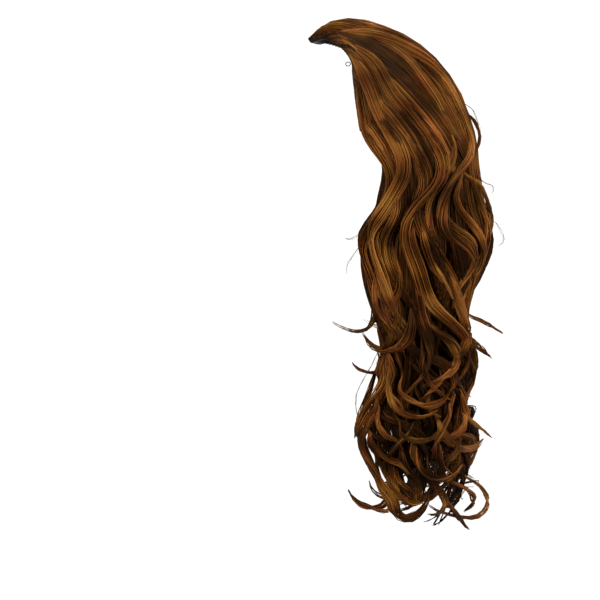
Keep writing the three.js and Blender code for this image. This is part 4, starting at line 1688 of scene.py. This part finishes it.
    def under_hair(self) -> None:
        """Builds the inner strands that hang from the nape."""
        mesh = StrandMesh("hair_under")
        for turn in range(-96, 97, 12):
            # Painted shade: the under hair's low tones stand for the shade deep inside the falls.
            rings = ((0.40, 0.22), (0.58, 0.25), (0.76, 0.27))
            for ring, tone in rings if abs(turn) >= 72 else rings[:2]:
                end = self.form.rng.uniform(-470.0, -430.0) - (42.0 if abs(turn) >= 60 else 0.0)
                lock = Lock(turn, ring, end, 30, 7, 2.4, float(self.form.rng.uniform(0, 360)), 6, 0)
                for wisp in self.form.wisps(lock, 3, tone):
                    points = self.form.strands(lock, wisp, 3, Rooted.NAPE, (1, 3, 24))
                    radius = tapered(3, points.shape[1], self.under_radius)
                    mesh.add(points, radius, self.tones(wisp.tone, 3, 0.08))
        self.dress(mesh)

    def core_over_crown(self, across: Array, down: Array) -> Array:
        """Lays the core under the combed hair and in to the falls.

        Args:
            across: Shares of the way round the head.
            down: Shares of the way down.

        Returns:
            The points.
        """
        form, head_share = self.form, 0.72
        turn = lerp(-103.0, 103.0, across)
        along = np.clip(down / head_share, 0.0, 1.0)
        share = np.clip((down - head_share) / 0.28, 0.0, 1.0)
        depth = 2.5 + 3.5 * smooth(along, 0.0, 0.3)
        top = form.crown.point(turn, along, depth, form.head)
        end = form.fall.point(turn * form.fall.plan_per_turn, 0.86, -172.0)
        points = lerp(top, end, smooth(share, 0.0, 1.0)[..., None])
        points[..., 2] = lerp(top[..., 2], end[..., 2], share)
        return points

    def core_in_falls(self, across: Array, down: Array) -> Array:
        """Lays the core inside the falls, with furrows and an uneven end.

        Args:
            across: Shares of the way round.
            down: Shares of the way down.

        Returns:
            The points.
        """
        plan = lerp(-112.0, 112.0, across)
        end = -438.0 - 26.0 * np.sin(plan * 0.37) * np.sin(plan * 0.11 + 1.0)
        furrow = 0.04 * np.cos(plan * 0.55)
        return self.form.fall.point(plan, 0.56 + furrow, lerp(-152.0, end, down))

    def core(self, finish: CoreFinish) -> None:
        """Builds the dark mass of hair that lies under the strands.

        Args:
            finish: Finish of the core.
        """
        form, dark = self.form, finish.material()
        for name, place, rows, wall in (
            ("core_crown", self.core_over_crown, 28, 1.6),
            ("core_fall", self.core_in_falls, 20, 9.0),
        ):
            obj = wrapped_grid(name, 72, rows, place)
            thickened(obj, wall)
            tie(obj, dark, "hair")
        mesh = StrandMesh("core_locks", sides=8)
        down = np.linspace(0.02, 0.74, 24)
        for lock in LOCKS:
            line = form.shape.centre(lock, down, form.fall)[None]
            radius = lock.wide * 0.62 * form.shape.size(down) * lerp(1.0, 0.15, smooth(down, 0.35, 0.74))
            mesh.add(line, radius[None], np.array([0.08]))
        tie(mesh.build(), dark, "hair")

    def loose_hair(self) -> None:
        """Builds the stray hairs round the outline."""
        mesh = StrandMesh("hair_loose")
        rng = self.form.rng
        for path in STRAYS:
            points = self.wave_strands(WaveLock(3.0, 0.0, 0.4, path), 4, 18, False)
            mesh.add(points, tapered(4, 18, self.stray_radius), self.tones(0.35, 4))
        for lock in LOCKS:
            for wisp in self.form.wisps(lock, 3, 0.4):
                wisp = replace(wisp, turns=1.5, amp=0.6 * wisp.amp, end=0.68 * wisp.end)
                points = self.form.strands(lock, wisp, 2, Rooted.CROWN, (6, 3, 28))
                t = even(points.shape[1])[None, :, None]
                out = unit(points - np.array([0.0, 60.0, 0.0])) * np.array([1.0, 1.0, 0.0])
                wander = np.sin(rng.uniform(0.0, 6.0, (2, 1, 1)) + rng.uniform(4.0, 12.0, (2, 1, 1)) * t)
                stray = out * (3.5 + 3.5 * wander) * smooth(t, 0.2, 0.5) * (1.0 - smooth(t, 0.7, 1.0))
                radius = tapered(2, points.shape[1], self.loose_radius)
                mesh.add(points + stray, radius, self.tones(wisp.tone, 2))
        self.dress(mesh)


@dataclass
class Cap:
    """Net cap with sewn weft rows and straps on its inside."""

    head: HeadForm
    band: float = 9.3
    wall: float = 1.6
    nape_share: float = 0.998
    weft_rows: int = 13
    weft_turn: float = 102.5
    weft_radius: float = 0.75
    weft_depth: float = 0.35
    strap_turns: tuple[float, ...] = (-72.0, -36.0, 0.0, 36.0, 72.0)
    strap_wide: float = 7.0
    strap_wall: float = 0.7
    strap_depth: float = 1.2

    def share(self, turn: Array, down: Array) -> Array:
        """Returns the share of the line to the nape, from the back edge of the band downwards."""
        return lerp(self.band / self.head.line_length(turn), self.nape_share, down)

    def sheet(self, across: Array, down: Array) -> Array:
        """Places points of the net, by their shares across and down."""
        turn = lerp(-self.head.edge_end_turn, self.head.edge_end_turn, across)
        return self.head.point(turn, self.share(turn, down), self.wall)

    def strip(self, middle: float, across: Array, down: Array) -> Array:
        """Places points of a strap.

        Args:
            middle: Turn of the strap's middle line.
            across: Shares of the way across.
            down: Shares of the way down.

        Returns:
            The points.
        """
        share = self.share(np.full(down.shape, middle), down)
        centre = self.head.point(np.full(down.shape, middle), share, -self.strap_depth)
        aside = self.head.point(np.full(down.shape, middle + 1.0), share, -self.strap_depth)
        return centre + unit(aside - centre) * ((across - 0.5) * self.strap_wide)[:, None]

    def build(self, net: ClothFinish, ribbon: ClothFinish, thread: SmoothFinish) -> None:
        """Builds the net, the weft rows and the straps.

        Args:
            net: Finish of the net.
            ribbon: Finish of the straps.
            thread: Finish of the weft rows.
        """
        obj = wrapped_grid("cap_net", 80, 40, self.sheet)
        thickened(obj, self.wall)
        tie(obj, net.material(), "cap", "cap")
        rows = StrandMesh("cap_wefts", sides=6)
        turn = np.linspace(-self.weft_turn, self.weft_turn, 70)
        for down in np.linspace(0.05, 0.98, self.weft_rows):
            line = self.head.point(turn, self.share(turn, np.full(turn.shape, down)), -self.weft_depth)
            rows.add(line[None], self.weft_radius, np.array([0.3]))
        tie(rows.build(), thread.material(), "cap")
        straps = []
        for middle in self.strap_turns:
            straps.append(wrapped_grid("cap_strap", 4, 40, partial(self.strip, middle)))
            thickened(straps[-1], self.strap_wall)
        joined = merged(straps)
        joined.name = "cap_straps"
        tie(joined, ribbon.material(), "cap")


@dataclass
class FrontBand:
    """Sewn band along the front edge, with two rows of stitches on its inside."""

    head: HeadForm
    wide: float = 9.0
    wall: float = 1.8
    lift: float = 2.1
    rounding: float = 0.5
    stitch: float = 2.6
    gap: float = 1.6
    hems: tuple[float, float] = (1.8, 1.6)
    row_turn: float = 103.0
    row_lift: float = 0.15
    thread_radius: float = 0.26
    thread_end: float = 0.12

    def sheet(self, across: Array, down: Array) -> Array:
        """Places points of the cloth.

        Args:
            across: Shares of the way along the front edge.
            down: Shares of the band's width.

        Returns:
            The points.
        """
        turn = lerp(-self.head.edge_end_turn, self.head.edge_end_turn, across)
        rounded = self.rounding * np.abs(2.0 * down - 1.0) ** 5
        return self.head.point(turn, down * self.wide / self.head.line_length(turn), self.lift - rounded)

    def build(self, ribbon: ClothFinish, thread: SmoothFinish) -> None:
        """Builds the band and its stitches.

        Args:
            ribbon: Finish of the band.
            thread: Finish of the stitches.
        """
        obj = wrapped_grid("band_cloth", 150, 8, self.sheet)
        thickened(obj, self.wall)
        tie(obj, ribbon.material(), "band", "front_band")
        rows = StrandMesh("band_stitches", sides=4)
        radius = np.array([[self.thread_end, self.thread_radius, self.thread_radius, self.thread_end]])
        for back in (self.hems[0], self.wide - self.hems[1]):
            turn = np.linspace(-self.row_turn, self.row_turn, 400)
            line = self.head.point(turn, back / self.head.line_length(turn), self.row_lift)
            length = lengths_along(line)
            for start in np.arange(0.0, length[-1] - self.stitch, self.stitch + self.gap):
                at = start + np.linspace(0.0, self.stitch, 4)
                points = np.stack([np.interp(at, length, line[:, i]) for i in range(3)], -1)
                rows.add(points[None], radius, np.array([0.4]))
        tie(rows.build(), thread.material(), "band")


@dataclass
class TempleLoop:
    """Small cord loop at the left temple, lying flat ahead of the band."""

    head: HeadForm
    turn: float = 57.0
    radius: float = 2.6
    cord: float = 0.55
    gap: float = 0.3
    ply_depth: float = 0.18
    ply_turns: int = 9

    def twist(self, obj: bpy.types.Object) -> None:
        """Twists a ring's cord out of two plies.

        Args:
            obj: The ring, flat round its origin.
        """
        for v in obj.data.vertices:
            round_at = math.atan2(v.co.y, v.co.x)
            tube_at = math.atan2(v.co.z, math.hypot(v.co.x, v.co.y) - self.radius * MM)
            middle = Vector((math.cos(round_at), math.sin(round_at), 0.0)) * self.radius * MM
            drawn_in = self.ply_depth * (0.5 + 0.5 * math.cos(2 * tube_at + self.ply_turns * round_at))
            v.co = middle + (v.co - middle) * (1.0 - drawn_in)

    def build(self, thread: SmoothFinish) -> None:
        """Builds the loop from a ring whose cord is twisted, and lays it at the temple.

        Args:
            thread: Finish of the cord.
        """
        lift = self.cord + self.gap
        at, left, right = (
            self.head.point(turn, 0.0, lift) for turn in (self.turn, self.turn + 0.5, self.turn - 0.5)
        )
        at, along = Vector(at), Vector(left - right)
        out = (Vector(self.head.point(self.turn, 0.0, lift + 1.0)) - at).normalized()
        ahead = along.cross(out).normalized()
        if ahead.y > 0.0:
            ahead = -ahead
        middle = at + ahead * (self.radius + self.cord + self.gap)
        bpy.ops.object.select_all(action="DESELECT")
        bpy.ops.mesh.primitive_torus_add(
            major_radius=self.radius * MM,
            minor_radius=self.cord * MM,
            major_segments=48,
            minor_segments=10,
            location=middle * MM,
            rotation=out.to_track_quat("Z", "Y").to_euler(),
        )
        obj = bpy.context.active_object
        obj.name = "temple_cord"
        self.twist(obj)
        bpy.ops.object.transform_apply(location=True, rotation=True, scale=True)
        bpy.ops.object.shade_smooth()
        tie(obj, thread.material(), "band", "temple_loop")


@dataclass
class FrontComb:
    """Comb under the front edge, its teeth towards the back."""

    head: HeadForm
    teeth: int = 11
    pitch: float = 3.4
    tooth: float = 1.6
    tooth_tip: float = 4.5
    tooth_bevel: float = 0.18
    sunk: float = 0.4
    reach: float = 14.0
    spine: float = 5.0
    spine_end: float = 1.0
    spine_bevel: float = 0.35
    wall: float = 1.2
    back: float = 3.0
    drop: float = 1.3

    @property
    def low(self) -> float:
        """Returns the height of the comb's middle plane above the head."""
        return -(self.drop + self.wall / 2.0)

    def bevelled(self, offset: float, segments: int, cuts: int) -> None:
        """Applies the active object's place and size, bevels its edges and cuts its faces.

        Args:
            offset: Width of the bevel.
            segments: Faces across the bevel.
            cuts: Cuts across each face, 0 for none.
        """
        bpy.ops.object.transform_apply(location=True, rotation=True, scale=True)
        bpy.ops.object.mode_set(mode="EDIT")
        bpy.ops.mesh.select_all(action="SELECT")
        bpy.ops.mesh.bevel(offset=offset, segments=segments, affect="EDGES")
        if cuts:
            bpy.ops.mesh.select_all(action="SELECT")
            bpy.ops.mesh.subdivide(number_cuts=cuts)
        bpy.ops.object.mode_set(mode="OBJECT")

    def flat_spine(self) -> bpy.types.Object:
        """Builds the spine flat.

        Returns:
            The spine, in millimetres.
        """
        bpy.ops.object.select_all(action="DESELECT")
        bpy.ops.mesh.primitive_cube_add(size=1.0, location=(0.0, self.back + self.spine / 2.0, self.low))
        spine = bpy.context.active_object
        spine.name = "comb_plastic"
        spine.scale = ((self.teeth - 1) * self.pitch + self.tooth + self.spine_end, self.spine, self.wall)
        self.bevelled(self.spine_bevel, 3, 4)
        return spine

    def flat_tooth(self, number: int) -> bpy.types.Object:
        """Builds a tooth flat.

        Args:
            number: Number of the tooth, from 0.

        Returns:
            The tooth, in millimetres.
        """
        x = (number - (self.teeth - 1) / 2.0) * self.pitch
        y = self.back + self.spine + self.reach / 2.0 - self.sunk
        bpy.ops.object.select_all(action="DESELECT")
        bpy.ops.mesh.primitive_cone_add(
            vertices=12,
            radius1=self.tooth / 2.0,
            radius2=self.tooth / self.tooth_tip,
            depth=self.reach,
            location=(x, y, self.low),
            rotation=(-math.pi / 2.0, 0.0, 0.0),
        )
        tooth = bpy.context.active_object
        tooth.scale = (1.0, self.wall / self.tooth, 1.0)
        self.bevelled(self.tooth_bevel, 2, 0)
        return tooth

    def build(self, plastic: SmoothFinish) -> None:
        """Builds the spine and the teeth flat, then bends them to the head.

        Args:
            plastic: Finish of the comb.
        """
        comb = merged([self.flat_spine(), *(self.flat_tooth(i) for i in range(self.teeth))])
        co = np.array([v.co for v in comb.data.vertices])
        turn = co[:, 0] * (180.0 / math.pi / self.head.half[2])
        bent = self.head.point(turn, co[:, 1] / self.head.line_length(turn), co[:, 2]) * MM
        comb.data.vertices.foreach_set("co", bent.astype(np.float32).ravel())
        comb.data.update()
        bpy.ops.object.shade_smooth_by_angle(angle=math.radians(40.0))
        tie(comb, plastic.material(), "comb", "front_comb")


@dataclass(frozen=True)
class Lamp:
    """A soft square light, in metres and watts."""

    name: str
    place: tuple[float, float, float]
    size: float
    power: float


LAMPS: tuple[Lamp, ...] = (
    Lamp("key_light", (2.0, -0.75, 0.9), 0.7, 45.0),
    Lamp("fill_light", (1.4, 1.7, 0.3), 0.9, 38.0),
    Lamp("top_light", (0.3, 0.2, 1.6), 0.9, 17.0),
    Lamp("far_light", (-1.8, 0.6, 0.8), 1.4, 14.0),
)


@dataclass
class Studio:
    """Floor, lights and camera."""

    view: SideView
    sensor: float = 36.0
    aim: tuple[float, float, float] = (0.0, 0.05, -0.25)
    backdrop: float = 1.1
    surround: float = 0.35
    surround_shade: Colour = (1.0, 0.98, 0.95)
    floor_reach: float = 0.7
    floor_height: float = -0.9
    floor_shade: Colour = (0.8, 0.79, 0.78)
    floor_roughness: float = 0.8

    def floor(self) -> None:
        """Lays the plain pale floor, well below the tips."""
        bpy.ops.object.select_all(action="DESELECT")
        bpy.ops.mesh.primitive_circle_add(
            vertices=96, radius=self.floor_reach, fill_type="NGON", location=(0.0, 0.05, self.floor_height)
        )
        floor = bpy.context.object
        floor.name = "floor"
        bpy.ops.object.transform_apply(location=True, rotation=False, scale=False)
        shade = {"Base Color": (*self.floor_shade, 1.0), "Roughness": self.floor_roughness}
        floor.data.materials.append(MaterialNodes("pale_floor").finished(shade))

    def camera(self) -> None:
        """Sets the camera in the side view."""
        _, back, target = (Vector(v) for v in self.view.axes())
        data = bpy.data.cameras.new("camera")
        data.sensor_width = self.sensor
        data.lens = self.sensor * self.view.distance / self.view.seen_wide
        cam = bpy.data.objects.new("camera", data)
        bpy.context.scene.collection.objects.link(cam)
        cam.location = (target + back * self.view.distance) * MM
        cam.rotation_euler = (-back).to_track_quat("-Z", "Y").to_euler()
        bpy.context.scene.camera = cam

    def lights(self) -> None:
        """Adds the lamps, all of which face the middle of the hair."""
        for lamp in LAMPS:
            data = bpy.data.lights.new(lamp.name, "AREA")
            data.size = lamp.size
            data.energy = lamp.power
            obj = bpy.data.objects.new(lamp.name, data)
            bpy.context.scene.collection.objects.link(obj)
            obj.location = lamp.place
            obj.rotation_euler = (Vector(self.aim) - obj.location).to_track_quat("-Z", "Y").to_euler()

    def room(self) -> None:
        """Adds a white backdrop for the camera and a dimmer surrounding that lights the hair."""
        bpy.context.scene.view_settings.view_transform = "Standard"
        world = bpy.data.worlds.new("white_room")
        world.use_nodes = True
        nodes, links = world.node_tree.nodes, world.node_tree.links
        seen = nodes["Background"]
        seen.inputs["Color"].default_value = (1.0, 1.0, 1.0, 1.0)
        seen.inputs["Strength"].default_value = self.backdrop
        lit = nodes.new("ShaderNodeBackground")
        lit.inputs["Color"].default_value = (*self.surround_shade, 1.0)
        lit.inputs["Strength"].default_value = self.surround
        path, mix = nodes.new("ShaderNodeLightPath"), nodes.new("ShaderNodeMixShader")
        links.new(path.outputs["Is Camera Ray"], mix.inputs["Fac"])
        links.new(lit.outputs["Background"], mix.inputs[1])
        links.new(seen.outputs["Background"], mix.inputs[2])
        links.new(mix.outputs["Shader"], nodes["World Output"].inputs["Surface"])
        bpy.context.scene.world = world


def main() -> None:
    """Builds the pieces in order."""
    logging.basicConfig(level=logging.INFO, format="%(message)s")
    view = SideView()
    hair = Hair(HairForm(), view, HairFinish())
    for section in Section:
        hair.long_hair(section)
    hair.curl_cores()
    hair.crown_hair(620)
    hair.wave_hair("hair_waves_left", tuple(wave for wave in WAVES if wave.from_crown), 1.0, False)
    hair.wave_hair("hair_curls_left", tuple(wave for wave in WAVES if not wave.from_crown), 1.0, False)
    hair.wave_hair("hair_waves_right", WAVES, 0.5, True)
    hair.under_hair()
    hair.core(CoreFinish())
    hair.loose_hair()
    head = hair.form.head
    net = ClothFinish("cap_net_cloth", (0.006, 0.0035, 0.002), (0.022, 0.012, 0.007), 150.0, 90.0, 0.9)
    ribbon = ClothFinish("band_ribbon", (0.012, 0.006, 0.0035), (0.04, 0.02, 0.01), 260.0, 40.0, 0.7)
    thread = SmoothFinish("dark_thread", (0.05, 0.024, 0.01), (0.11, 0.055, 0.024), 900.0, 0.55)
    plastic = SmoothFinish("comb_plastic", (0.016, 0.008, 0.005), (0.03, 0.016, 0.009), 260.0, 0.3)
    Cap(head).build(net, ribbon, thread)
    FrontBand(head).build(ribbon, thread)
    TempleLoop(head).build(thread)
    FrontComb(head).build(plastic)
    studio = Studio(view)
    studio.floor()
    studio.lights()
    studio.room()
    studio.camera()


if __name__ == "__main__":
    main()
